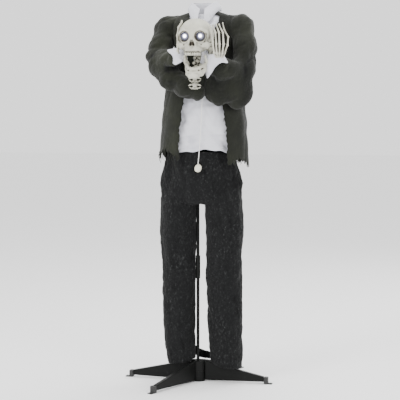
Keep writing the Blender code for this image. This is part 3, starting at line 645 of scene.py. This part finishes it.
# radius and depth behind the front of the lens, in millimetres
EYE_DOME = ((0.2, 1.2), (4.0, 1.4), (8.0, 2.4), (12.5, 4.2), (15.6, 6.2), (16.4, 9.0), (0.2, 9.1))
EYE_RING = ((16.0, 7.8), (16.0, 4.6), (16.6, 3.0), (18.0, 2.2), (19.6, 3.0), (20.3, 5.0), (20.3, 11.0),
            (16.0, 11.0), (16.0, 7.8))
EYE_SPOT = ((0.2, 0.1), (4.0, 0.3), (6.2, 0.9), (7.0, 2.2), (0.2, 2.3))


def make_eyes(lens, ring, light):
    for side in ("left", "right"):
        low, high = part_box("eye_lens_" + side)
        centre = ((low.x + high.x) / 2, low.y, (low.z + high.z) / 2)
        eye = disc_rows("eye_dome_" + side, EYE_DOME, centre)
        co = np.array([v.co for v in eye.data.vertices])
        offset = np.hypot(co[:, 0] - centre[0], co[:, 2] - centre[2])
        store(eye, "glow", np.clip(1.0 - offset / 0.0145, 0.0, 1.0))
        dress(eye, "arms", lens, "eye_lens", "eye_lens_" + side)
        dress(disc_rows("eye_ring_" + side, EYE_RING, centre), "arms", ring, "black_plastic")
        dress(disc_rows("eye_spot_" + side, EYE_SPOT, centre), "arms", light, "eye_light")


# ---- hands

def finger_field(p, joints, radii):
    """Phalanges with thick ends and waisted shafts along a finger's joints."""
    field = None
    for k in range(len(joints) - 1):
        a, b = Vector(joints[k]), Vector(joints[k + 1])
        m = a.lerp(b, 0.5)
        ra, rb = radii[k], radii[k + 1]
        shaft = join(capsule(p, a, m, ra * 0.88, ra * 0.70), capsule(p, m, b, rb * 0.70, rb * 0.88), 1.0)
        knob = ellipsoid(p, b, (rb * 1.12,) * 3)
        part = join(shaft, knob, 2.0)
        field = part if field is None else join(field, part, 1.2)
    return field


def hand_field(p, fingers, wrist, spread):
    """Carpals, metacarpals with dark gaps between them, and five fingers."""
    field = ellipsoid(p, wrist, (15, 10, 12))
    for offset in spread:
        lump = ellipsoid(p, (wrist[0] + offset, wrist[1] - 1.5, wrist[2] + 9), (5.5, 5.5, 6))
        field = join(field, lump, 3.0)
    for joints, radii in fingers:
        field = join(field, finger_field(p, joints, radii), 1.6)
    return roughened(field, p, 6.0, 0.35)


def make_hands(bone):
    """Hand frames are in millimetres about the skull's middle; each finger lists its joints."""
    r = (5.6, 5.4, 5.2, 4.6, 3.4)
    right = (
        (((92, -8, -96), (86, -42, -73), (83, -50, -28), (77, -54, 11), (70, -52, 38)), r),
        (((97, -6, -96), (97, -40, -74), (96, -46, -36), (93, -48, 11), (82, -46, 42)), r),
        (((102, -4, -96), (107, -34, -75), (109, -40, -36), (107, -42, 11), (94, -38, 46)), r),
        (((107, -2, -96), (118, -28, -76), (125, -32, -36), (122, -32, 10), (104, -28, 46)), r),
        (((111, 2, -96), (125, -16, -74), (138, -16, -40), (140, -12, -6), (122, -10, 26), (115, -6, 54)),
         (5.2, 5.0, 4.6, 4.2, 3.6, 2.4)),
    )
    carved("hand_right_carved", (46, -72, -116), (154, 26, 72),
           lambda p: hand_field(p, right, (102, -2, -100), (-10, -3, 4, 11)), bone, "hand_right")
    left = (
        (((-80, 14, -72), (-79, -14, -36), (-77, -28, 2), (-70, -36, 34), (-54, -40, 58)), r),
        (((-81, 20, -72), (-82, -4, -34), (-81, -10, 6), (-74, -14, 40), (-60, -18, 65)), r),
        (((-82, 26, -72), (-84, 10, -34), (-83, 8, 6), (-77, 6, 38), (-66, 6, 60)), r),
        (((-81, 32, -72), (-84, 24, -36), (-84, 26, 0), (-79, 28, 30), (-68, 30, 50)), (5.2, 5.0, 4.6, 4.0, 3.0)),
        (((-79, 10, -74), (-76, -28, -62), (-70, -48, -44), (-64, -56, -26)), (5.6, 5.2, 4.6, 3.4)),
    )
    carved("hand_left_carved", (-108, -70, -96), (-40, 48, 76),
           lambda p: hand_field(p, left, (-82, 22, -80), (-6, -2, 2, 5)), bone, "hand_left")


# ---- cloth helpers

CLOTH_THICKNESS = 0.0018
MEAN_RIPPLE = 1.27      # about the mean of twice a sine's size, so that ripples leave a sheet's size as it is


def drape(x, y, z, seed, length, weights, count=5):
    """Ripples of about that wavelength, sharp in the valleys and round on top, roughly -1 to 1.

    weights favour the directions that the ripples cross."""
    rng = np.random.default_rng(seed)
    total = 0.0
    for _ in range(count):
        d = rng.normal(size=3) * weights
        d = d * rng.uniform(0.7, 1.4) / (length * np.linalg.norm(d))
        e = rng.normal(size=3) * 0.45 / length
        phase, turn = rng.uniform(0.0, TAU, 2)
        bend = np.sin(TAU * (e[0] * x + e[1] * y + e[2] * z) + turn)
        ripple = np.sin(math.pi * (d[0] * x + d[1] * y + d[2] * z) + phase + 0.8 * bend)
        total = total + 2.0 * np.abs(ripple) - MEAN_RIPPLE
    return total * 1.6 / count


def steps(count):
    return np.linspace(0.0, 1.0, count)


def along_rows(rows, t):
    """Catmull-Rom through rows of numbers at t from 0 to 1; the result has one more axis."""
    rows = np.array(rows, float)
    s = np.clip(np.asarray(t, float), 0.0, 1.0) * (len(rows) - 1)
    i = np.minimum(s.astype(int), len(rows) - 2)
    f = (s - i)[..., None]
    a, b, c, d = (rows[np.clip(i + k, 0, len(rows) - 1)] for k in (-1, 0, 1, 2))
    return 0.5 * (2 * b + (c - a) * f + (2 * a - 5 * b + 4 * c - d) * f * f + (3 * b - a - 3 * c + d) * f ** 3)


def thicken(item, thickness=CLOTH_THICKNESS):
    solid = item.modifiers.new("thickness", "SOLIDIFY")
    solid.thickness = thickness
    solid.offset = 0.0
    return item


def corner_uvs(item, values):
    layer = item.data.uv_layers.new(name="UVMap")
    layer.data.foreach_set("uv", np.asarray(values, np.float32).reshape(-1))


def sheet_mesh(name, points, closed, push=None, depth=0.006):
    """A thickened sheet over rows of points, pushed along its normals, with UVs in metres and a crease attribute of
    painted shade, strongest where the sheet is pushed in.
    """
    along, across = np.gradient(points, axis=0), np.gradient(points, axis=1)
    if closed:
        across = (np.roll(points, -1, 1) - np.roll(points, 1, 1)) / 2
    normal = np.cross(across, along)
    normal /= np.maximum(np.linalg.norm(normal, axis=2, keepdims=True), 1e-9)
    push = np.zeros(points.shape[:2]) if push is None else push
    points = points + normal * push[..., None]
    wide = np.concatenate([points, points[:, :1]], 1) if closed else points
    rows, cols = wide.shape[:2]
    step_u = np.linalg.norm(np.diff(wide, axis=1), axis=2)
    step_v = np.linalg.norm(np.diff(wide, axis=0), axis=2)
    u = np.concatenate([np.zeros((rows, 1)), np.cumsum(step_u, 1)], 1)
    v = np.concatenate([np.zeros((1, cols)), np.cumsum(step_v, 0)], 0)
    j, i = np.mgrid[0:rows - 1, 0:cols - 1]
    corners = [(j, i), (j, i + 1), (j + 1, i + 1), (j + 1, i)]
    count = points.shape[1]
    faces = np.stack([(a * count + b % count).reshape(-1) for a, b in corners], 1)
    item = from_arrays(name, points.reshape(-1, 3), faces)
    corner_uvs(item, np.stack([np.stack([u[a, b].reshape(-1), v[a, b].reshape(-1)], 1) for a, b in corners], 1))
    store(item, "crease_shade", np.clip(-push.reshape(-1) / depth, 0.0, 1.0) * 0.9)
    return thicken(item)


def bag_mesh(name, field, low, step, cut):
    """A thickened sheet over the surface of a field in millimetres, open where cut(points) is true.

    Its UVs are laid flat by the side that each face looks to."""
    points, faces = polygonize(field, low, step)
    faces = faces[~cut(points[faces].mean(1))]
    used, faces = np.unique(faces, return_inverse=True)
    points, faces = points[used], faces.reshape(-1, 4)
    item = from_arrays(name, points * MM, faces)
    normals = vertex_normals(item)
    # painted shade: how deep each point lies in a fold, read from the field 9 mm out along its normal
    valley = np.clip(1.0 - sample(field, low, step, points + normals * 9.0) / 9.0, 0.0, 1.0)
    store(item, "crease_shade", np.clip((valley - 0.12) * 2.2, 0.0, 0.95))
    look = np.abs(normals[faces].mean(1)).argmax(1)
    flat = np.array([(1, 2), (0, 2), (0, 1)])[look]
    corners = points[faces] * MM
    corner_uvs(item, np.take_along_axis(corners, np.repeat(flat[:, None, :], 4, 1), 2))
    return thicken(item)


def slice_field(p, rows):
    """An upright tube in millimetres whose middle and half widths follow rows of (z, cx, cy, half_x, half_y)."""
    rows = np.array(rows, float)
    z = p[2]
    cx, cy, hx, hy = (np.interp(z, rows[:, 0], rows[:, k]) for k in (1, 2, 3, 4))
    k = np.sqrt(((p[0] - cx) / hx) ** 2 + ((p[1] - cy) / hy) ** 2)
    side = (k - 1.0) * np.minimum(hx, hy)
    return np.maximum(side, np.maximum(rows[0, 0] - z, z - rows[-1, 0]))


def dress_cloth(item, body, material, slot_name, flat, held, area, *nodes, with_pieces=(), rests_on=()):
    dress(item, body, material, slot_name, *nodes)
    return item


def thread_points(start, length, lean, seed):
    rng = np.random.default_rng(seed)
    t = steps(9)
    sway = rng.uniform(-1.0, 1.0, 2) * 0.14 * length
    x = start[0] + lean[0] * t + sway[0] * np.sin(t * math.pi * rng.uniform(0.8, 2.2))
    y = start[1] + lean[1] * t + sway[1] * np.sin(t * math.pi * rng.uniform(0.8, 2.2))
    return np.stack([x, y, start[2] - length * t], 1)


def tube(name, path, radii, sides=6):
    """A closed tube of that radius along a path of points."""
    path = np.array(path, float)
    radii = np.broadcast_to(np.asarray(radii, float), (len(path),))
    ahead = np.gradient(path, axis=0)
    ahead /= np.linalg.norm(ahead, axis=1, keepdims=True)
    side = np.cross(ahead, (0.31, 0.89, 0.17))
    side /= np.linalg.norm(side, axis=1, keepdims=True)
    up = np.cross(ahead, side)
    a = np.arange(sides) * TAU / sides
    ring = np.cos(a)[None, :, None] * side[:, None] + np.sin(a)[None, :, None] * up[:, None]
    points = (path[:, None] + ring * radii[:, None, None]).reshape(-1, 3)
    faces = ring_faces(len(path), sides)
    faces.append(tuple(range(sides)))
    last = (len(path) - 1) * sides
    faces.append(tuple(last + k for k in reversed(range(sides))))
    return from_arrays(name, points, faces)


def threads(name, starts, body, material, slot_name):
    """Loose threads as one piece."""
    bm = bmesh.new()
    for k, (start, length, lean) in enumerate(starts):
        path = thread_points(start, length, lean, 100 + k)
        item = tube("thread", path, np.linspace(0.0011, 0.0005, len(path)), 5)
        bm.from_mesh(item.data)
        bpy.data.objects.remove(item)
    item = mesh_object(name, bm)
    return dress(item, body, material, slot_name)


# ---- jacket, shirt and collar

CHEST_X = 0.030         # the figure stands a little to one side of the pole
SQUARENESS = 0.9        # below 1, the torso's outline is fuller at its corners than an ellipse


def torso_points(rows, start, end, count, levels):
    """Rows of points round the torso, their share of the way up, and their angles.

    rows hold (z, half_x, half_y, cy) in millimetres, from the bottom up. start and end are (z, angle) pairs in metres
    and degrees, from the front through +X; a full turn ends one step short, where its first point is."""
    t = steps(levels)
    z, half_x, half_y, cy = (column[:, None] * MM for column in along_rows(rows, t).T)
    first, last = (np.interp(z, *zip(*edge)) for edge in (start, end))
    across = np.linspace(0.0, 1.0, count, endpoint=np.max(last - first) < 359)[None, :]
    a = np.radians(first + (last - first) * across)
    s, c = (np.sign(w) * np.abs(w) ** SQUARENESS for w in (np.sin(a), -np.cos(a)))
    x = CHEST_X + half_x * s
    return np.stack([x, cy + half_y * c, np.broadcast_to(z, x.shape)], 2), np.broadcast_to(t[:, None], x.shape), a


def make_jacket(cloth):
    """The open jacket: square shoulders, a ragged hem and frayed front edges."""
    rows = ((1000, 207, 120, 0), (1060, 203, 120, 0), (1130, 199, 117, 0), (1220, 190, 110, 0),
            (1320, 170, 96, 0), (1430, 142, 86, 0), (1520, 140, 82, 2), (1585, 150, 76, 4), (1614, 150, 66, 4),
            (1634, 134, 52, 4), (1646, 100, 48, 4), (1657, 66, 46, 4))
    count, levels = ((300, 170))
    right_edge = ((1.0, 36.0), (1.2, 34.0), (1.27, 32.0), (1.34, 20.0), (1.42, 11.0), (1.50, 13.0), (1.56, 20.0),
                  (1.60, 26.0), (1.63, 34.0), (1.657, 40.0))
    left_edge = ((1.0, 337.0), (1.27, 338.0), (1.34, 345.0), (1.42, 352.0), (1.50, 351.0), (1.56, 347.0),
                 (1.60, 343.0), (1.63, 336.0), (1.657, 322.0))
    points, t, a = torso_points(rows, right_edge, left_edge, count, levels)
    x, y, z = np.moveaxis(points, 2, 0)
    low = np.clip(1.0 - t * 1.9, 0.0, 1.0)
    flutes = drape(np.sin(a) * 0.9, np.cos(a) * 0.9, z * 0.9, 3, 0.62, (1.0, 1.0, 0.55), 5)
    fine = drape(x, y, z, 5, 0.13, (1.0, 1.0, 0.55), 6)
    sags = drape(x, y, z, 8, 0.16, (0.4, 0.4, 1.0), 4)
    push = 0.010 * low ** 0.7 * flutes + 0.0038 * fine + 0.004 * sags * (1.0 - low)
    push *= np.clip((1.655 - z) / 0.05, 0.15, 1.0)
    hem = 0.016 * np.sin(a * 7.0 + 0.6) + 0.012 * np.abs(np.sin(a * 23.0 + 1.0)) + 0.006 * np.sin(a * 61.0)
    left_side = np.exp(-((np.degrees(a) - 300.0) / 34.0) ** 2)
    rise = 0.030 * left_side - 0.020 * np.exp(-((np.degrees(a) - 70.0) / 38.0) ** 2)
    points[..., 2] += (hem + rise) * (1.0 - np.clip(t / 0.16, 0.0, 1.0)) ** 2
    for edge, sign in ((0, 1.0), (-1, -1.0)):
        up = z[:, edge]
        wobble = 0.0035 * np.sin(up * 17.0 + 2.0) + 0.0020 * np.sin(up * 83.0 + 1.0) + 0.0016 * np.sin(up * 270.0)
        reach = np.exp(-(np.arange(count) / (count * 0.035)) ** 2)
        reach = reach if edge == 0 else reach[::-1]
        points[..., 0] += sign * wobble[:, None] * reach[None, :]
        points[..., 1] -= 0.008 * reach[None, :] * np.clip(1.0 - t, 0.2, 1.0)
    jacket = sheet_mesh("jacket_hung", points, False, push, 0.012)
    rng = np.random.default_rng(4)
    starts = []
    for k in range(26):
        i = int(rng.uniform(0.72, 0.995) * (count - 1)) if k % 2 else int(rng.uniform(0.0, 0.9) * (count - 1))
        p = points[1, i]
        starts.append(((p[0], p[1], p[2] + 0.004), rng.uniform(0.010, 0.034), rng.uniform(-0.008, 0.008, 2)))
    for k in range(5):
        p = points[2, int((0.90 + 0.018 * k) * (count - 1))]
        starts.append(((p[0], p[1], p[2]), 0.050 + 0.009 * k, (0.010 + 0.004 * k, -0.004)))
    for k in range(14):
        j = int(rng.uniform(0.02, 0.62) * (levels - 1))
        p = points[j, 0 if k % 2 else -1]
        starts.append(((p[0], p[1] - 0.001, p[2]), rng.uniform(0.008, 0.020), ((-0.006 if k % 2 else 0.006), -0.002)))
    fringe = threads("jacket_threads", starts, "figure", cloth, "jacket_cloth")
    dress_cloth(jacket, "figure", cloth, "jacket_cloth", (0.92, 0.60), "hung", 0.46, "jacket_body",
                with_pieces=[fringe], rests_on=["shoulder_yoke"])


UNTUCKED_LAYER_Z = 1.112        # the edge of the layer that hangs over the shirt's tail


def make_shirt(cloth):
    rows = ((1043, 160, 97, 0), (1100, 157, 96, 0), (1180, 150, 92, 0), (1300, 134, 82, 0), (1420, 116, 73, 0),
            (1520, 106, 69, 0), (1585, 116, 64, 2), (1620, 104, 54, 3), (1644, 58, 44, 3))
    count, levels = ((280, 150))
    points, t, a = torso_points(rows, ((1.0, 0.0),), ((1.0, 360.0),), count, levels)
    x, y, z = np.moveaxis(points, 2, 0)
    low = np.clip(1.15 - t * 1.5, 0.0, 1.0)
    push = 0.0085 * low * drape(x, y, z * 0.6, 12, 0.110, (1.0, 0.6, 0.5), 5)
    push += 0.0035 * drape(x, y, z, 15, 0.060, (0.6, 0.5, 1.0), 5)
    layer = z - UNTUCKED_LAYER_Z - 0.004 * np.sin(x * 22.0)
    push += 0.0065 * np.clip(layer / 0.006 + 0.5, 0.0, 1.0) * np.clip(1.0 - layer / 0.12, 0.0, 1.0)
    push += 0.0012 * np.exp(-((z - 1.052) / 0.004) ** 2)
    points[..., 2] += (0.006 * np.sin(a * 5.0 + 0.4) + 0.003 * np.sin(a * 13.0)) * (1.0 - np.clip(t / 0.12, 0.0, 1.0))
    shirt = sheet_mesh("shirt_hung", points, True, push, 0.011)
    dress_cloth(shirt, "figure", cloth, "shirt_cloth", (0.80, 0.60), "hung", 0.40, "shirt_body",
                rests_on=["shoulder_yoke"])


def make_collar(cloth):
    """A stand round the neck and a fall folded over it, with two long points at the front."""
    t = steps(14)[:, None]
    a = np.radians(np.linspace(14.0, 346.0, 120))[None, :]
    front = np.exp(-((np.pi - np.abs(a - np.pi)) / 0.75) ** 2)
    x = CHEST_X + (0.052 + 0.004 * t) * np.sin(a)
    y = 0.004 - (0.040 + 0.004 * t) * np.cos(a)
    z = 1.638 + 0.058 * t - 0.030 * front * t - 0.004 * front
    folds = 0.0012 * drape(x, y, z, 21, 0.05, (1, 1, 0.5))
    stand = sheet_mesh("collar_stand", np.stack([x, y, z], 2), False, folds, 0.003)
    v = steps(22)[:, None]
    a = np.radians(np.linspace(10.0, 350.0, 160))[None, :]
    gap = np.pi - np.abs(a - np.pi)
    front = np.exp(-((gap - 0.50) / 0.42) ** 2)
    lean = np.sin(v * math.pi * 0.5)
    x = CHEST_X + (0.0575 + 0.016 * lean + 0.004 * np.sin(v * math.pi)) * np.sin(a)
    y = 0.004 - (0.0455 + 0.016 * lean + 0.022 * lean * front) * np.cos(a)
    top = 1.698 - 0.034 * np.exp(-(gap / 0.65) ** 2)
    drop = 0.036 + 0.034 * front
    roll = 0.004 * np.sin(np.clip(v / 0.12, 0.0, 1.0) * math.pi)
    z = top + roll - drop * v
    folds = 0.0022 * drape(x, y, z, 25, 0.055, (1.0, 1.0, 0.6), 4) * v
    fall = sheet_mesh("collar_fall", np.stack([x, y, z], 2), False, folds, 0.004)
    dress(fall, "figure", cloth, "shirt_cloth")
    dress_cloth(stand, "figure", cloth, "shirt_cloth", (0.27, 0.055), "folded", None, "collar",
                rests_on=["shirt_hung"])


# ---- sleeves, cuffs and trousers

SLEEVE_STEP = 3.4


def sleeve_folds(p, seed):
    ring = drape(*p, seed, 64.0, (0.8, 0.6, 0.8), 4)
    long = drape(*p, seed + 1, 96.0, (1.0, 0.4, 0.35), 3)
    fine = drape(*p, seed + 2, 27.0, (1.0, 1.0, 1.0), 5)
    return 2.8 * ring + 3.2 * long + 0.8 * fine


def hang_sleeve(name, cloth, field, p, low, mouth):
    """Opens a sleeve's field at its mouth, an ellipsoid, and hangs it between the shoulder and the raised forearm."""
    item = bag_mesh(name + "_hung", np.maximum(field, -ellipsoid(p, *mouth)), low, SLEEVE_STEP,
                    lambda q: ellipsoid(q.T, *mouth) < 1.5)
    item.data.materials.append(cloth)
    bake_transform(item)
    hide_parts(name)


def make_sleeves(cloth):
    p, low = grid((-236, -212, 1236), (92, 84, 1664), SLEEVE_STEP)
    f = path_field(p, ((-92, 4, 1590), (-138, 0, 1588), (-160, -44, 1502), (-162, -82, 1448)), (50, 49, 46, 44), 24)
    f = join(f, ellipsoid(p, (-186, -76, 1458), (26, 28, 22)), 18)
    f = join(f, capsule(p, (-150, -88, 1440), (-66, -168, 1446), 46, 36), 24)
    hang = path_field(p, ((-146, -92, 1406), (-86, -130, 1356), (-20, -138, 1322), (30, -134, 1300)),
                      (46, 44, 42, 36), 22)
    hang = join(hang, ellipsoid(p, (24, -128, 1350), (44, 26, 54)), 20)
    f = join(f, hang, 26) - sleeve_folds(p, 31)
    hang_sleeve("sleeve_left", cloth, f, p, low, ((-30, -208, 1476), (36, 41, 45)))
    p, low = grid((20, -228, 1192), (308, 84, 1664), SLEEVE_STEP)
    f = path_field(p, ((152, 4, 1590), (198, 0, 1588), (222, -40, 1496), (224, -76, 1405)), (50, 49, 47, 48), 24)
    f = join(f, capsule(p, (214, -92, 1385), (150, -170, 1402), 50, 42), 26)
    f = join(f, ellipsoid(p, (202, -100, 1312), (66, 44, 84)), 28)
    f = join(f, ellipsoid(p, (122, -126, 1324), (66, 38, 80)), 28) - sleeve_folds(p, 41)
    hang_sleeve("sleeve_right", cloth, f, p, low, ((118, -226, 1464), (47, 47, 55)))


def make_cuffs(cloth):
    v = steps(26)[:, None]
    a = np.linspace(0.0, TAU, 90, endpoint=False)[None, :]
    s, c = np.sin(a), np.cos(a)
    spike = np.exp(-((a - 1.5 * np.pi) / 0.34) ** 2) * np.exp(-((v - 0.32) / 0.20) ** 2)
    x = -0.031 + (0.021 + 0.010 * v) * s - 0.030 * spike + 0.004 * v
    y = -0.204 - (0.022 + 0.010 * v) * c
    z = 1.487 - 0.058 * v + 0.010 * spike - 0.010 * v * np.cos(a + 0.5) + 0.004 * np.sin(a * 3.0) * v
    push = 0.0026 * drape(x, y, z, 51, 0.030, (1.0, 1.0, 0.3), 5) * (0.3 + v)
    left = sheet_mesh("cuff_left_folded", np.stack([x, y, z], 2), True, push, 0.005)
    x = 0.127 + (0.039 + 0.004 * v) * s + 0.012 * v
    y = -0.218 - (0.028 + 0.004 * v) * c + 0.010 * v
    point = np.exp(-((np.angle(np.exp(1j * (a + 0.70)))) / 0.75) ** 2)
    z = 1.459 - v * (0.036 + 0.052 * point + 0.020 * np.clip(-s, 0.0, 1.0)) + 0.002 * np.sin(a * 4.0)
    x = x - 0.012 * point * v
    push = 0.0032 * drape(x, y, z, 61, 0.034, (1.0, 1.0, 0.25), 5) * (0.25 + v)
    right = sheet_mesh("cuff_right_folded", np.stack([x, y, z], 2), True, push, 0.006)
    for item, name, flat in ((left, "cuff_left", (0.19, 0.062)), (right, "cuff_right", (0.22, 0.062))):
        dress_cloth(item, "arms", cloth, "shirt_cloth", flat, "folded", None, name,
                    rests_on=[name.replace("cuff", "forearm")])


TROUSER_TOP = 1040.0
HUB_TOP = 96.5          # with room to spare over the stand's hub
HUB_RADIUS = 35.0
LEG_SLOPE = 0.2204      # how fast the tops of the stand's legs fall away from the hub


def hem_height(x, y):
    """The hems hang just clear of the sloping legs of the stand at any turn of the pole; all in millimetres."""
    return HUB_TOP - LEG_SLOPE * (np.sqrt(x * x + y * y) - HUB_RADIUS)


def below_hem(q):
    """Points under a slightly ragged hem, just above the plane where the legs' field ends."""
    x, y, z = q.T
    return z < hem_height(x, y) + 1.5 + 1.5 * np.sin(x * 0.31) + 1.0 * np.sin(y * 0.5)


def make_trousers(cloth):
    step = 3.6
    p, low = grid((-202, -124, 50), (238, 124, 1066), step)
    x, y, z = p
    seat = slice_field(p, ((806, 18, 0, 150, 60), (826, 18, 0, 172, 78), (856, 19, 0, 187, 88), (900, 18, 0, 187, 92),
                           (960, 16, 0, 172, 92), (1040, 16, 0, 146, 84)))
    left = slice_field(p, ((70, -70, 0, 60, 56), (160, -82, 0, 70, 58), (300, -88, 0, 73, 58), (560, -92, 0, 78, 60),
                           (700, -92, 0, 81, 70), (820, -88, 0, 80, 76), (940, -70, 0, 56, 50)))
    right = slice_field(p, ((70, 134, 0, 68, 58), (160, 131, 0, 73, 60), (300, 124, 0, 76, 60), (450, 120, 0, 79, 60),
                            (560, 119, 0, 80, 62), (700, 122, 0, 85, 70), (820, 120, 0, 84, 76), (940, 96, 0, 56, 50)))
    f = join(join(left, right, 14), seat, 15)
    crumple = drape(x, y, z * 0.62, 71, 46.0, (1.0, 1.0, 1.0), 7)
    folds = drape(x, y, z * 0.30, 75, 90.0, (1.0, 0.6, 0.5), 5)
    fine = drape(x, y, z * 0.7, 79, 17.0, (1.0, 1.0, 1.0), 5)
    f = f - 2.8 * crumple - 3.4 * folds - 1.0 * fine
    f = np.maximum(f, np.maximum(hem_height(x, y) - z, z - TROUSER_TOP))
    item = bag_mesh("trousers_hung", f, low, step,
                    lambda q: (q[:, 2] > TROUSER_TOP - 1.0) | below_hem(q))
    s, t = steps(30)[None, :], steps(12)[:, None]
    rag_z = 0.152 - 0.030 * s - (0.045 - 0.020 * s) * t - 0.012 * np.sin(math.pi * s)
    spread = np.ones_like(rag_z)
    rag_points = np.stack([(-0.030 + 0.115 * s) * spread, (0.052 - 0.006 * np.sin(s * 9.0)) * spread, rag_z], 2)
    ripples = 0.003 * np.sin(np.arange(30) * 0.9) * spread
    rag = sheet_mesh("trouser_rag", rag_points, False, ripples, 0.004)
    dress(rag, "figure", cloth, "gauze_cloth")
    dress_cloth(item, "figure", cloth, "gauze_cloth", (1.02, 0.98), "hung", 0.86, "trouser_seat", "trouser_leg_left",
                "trouser_leg_right", with_pieces=[rag], rests_on=["waist_hoop"])


# ---- cord and beads

CORD_DIAMETER = 0.0035
CORD_ROUTE = ((0.046, -0.082, 1.618), (0.048, -0.092, 1.585), (0.048, -0.097, 1.52), (0.048, -0.099, 1.44),
              (0.048, -0.103, 1.36), (0.047, -0.107, 1.30), (0.046, -0.110, 1.262), (0.043, -0.114, 1.18),
              (0.039, -0.117, 1.10), (0.034, -0.119, 1.03), (0.030, -0.120, 0.985))


def make_cord(cord_finish, bead_finish):
    path = along_rows(CORD_ROUTE, steps(120))
    cord = tube("pull_cord_laid", path, CORD_DIAMETER / 2, 12)
    store(cord, "crease_shade", np.zeros(len(cord.data.vertices)))
    dress(cord, "figure", cord_finish, "white_cord", "pull_cord")
    for name, slot_name, finish, r, h, size, step in (("cord_slider", "white_cord", cord_finish, 4.8, 4.0, 9.0, 0.4),
                                                      ("cord_bead", "cream_bead", bead_finish, 14.8, 17.0, 24.0, 0.8)):
        low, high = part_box(name)
        p, corner = grid((-size,) * 3, (size,) * 3, step)
        f = ellipsoid(p, (0, 0, 0), (r, r * 0.92, h))
        f = join(f, ellipsoid(p, (r * 0.22, 0, h * 0.30), (r * 0.80, r * 0.75, h * 0.66)), r * 0.25)
        f = join(f, ellipsoid(p, (-r * 0.16, 0, -h * 0.42), (r * 0.78, r * 0.8, h * 0.5)), r * 0.25)
        f = roughened(f, p, r * 0.42, r * 0.05)
        f = carve(f, capsule(p, (0, 0, h * 0.6), (0, 0, h * 2.0), 2.0, 2.0), 0.5)
        bead = bone_piece(name + "_turned", f, corner, step, (low + high) / 2)
        dress(bead, "figure", finish, slot_name, name)


# ---- the CAD nodes that stay, and the scene

STEEL_NODES = ("hub_upper", "hub_lower", "leg_left", "leg_right", "leg_front", "leg_back", "lower_pole", "upper_pole",
               "pole_coupler", "spine_tube", "waist_hoop", "shoulder_yoke")
ZINC_NODES = ("shoulder_axle", "upper_arm_left", "upper_arm_right", "forearm_left", "forearm_right")


def dress_nodes(steel, zinc, black, foot):
    """A procedural finish for every CAD node that shows, in place of the plain one from the frame."""
    for name, node in NODES.items():
        finish = black
        if name in STEEL_NODES:
            finish = steel
        elif name in ZINC_NODES:
            finish = zinc
        elif name.startswith("foot_"):
            finish = foot
        for slot in node.material_slots:
            slot.material = finish


def main():
    bone = bone_material("bone_aged", (0.50, 0.49, 0.41), (0.055, 0.045, 0.030))
    bone_dark = bone_material("bone_shadowed", (0.36, 0.35, 0.29), (0.035, 0.030, 0.022))
    pale_bone = bone_material("bone_pale", (0.52, 0.505, 0.425), (0.055, 0.047, 0.033))
    black = plastic_material("black_plastic", (0.014, 0.014, 0.014), 0.5)
    ring = plastic_material("eye_ring", (0.055, 0.055, 0.065), 0.45)
    jacket, shirt = jacket_material(), shirt_material()
    make_camera()
    make_stage()
    make_cord(cord_material(), bone_material("cream_bead", (0.80, 0.77, 0.63), (0.30, 0.27, 0.18)))
    make_head(bone, bone_dark)
    make_eyes(lens_material(), ring, glow_material("eye_light", (0.95, 0.96, 1.0), 9.0))
    make_hands(pale_bone)
    make_shirt(shirt)
    make_collar(shirt)
    make_jacket(jacket)
    make_sleeves(jacket)
    make_cuffs(shirt)
    make_trousers(gauze_material())
    dress_nodes(steel_material(), zinc_material(), black, plastic_material("foot_plastic", (0.020, 0.020, 0.020), 0.55))


main()
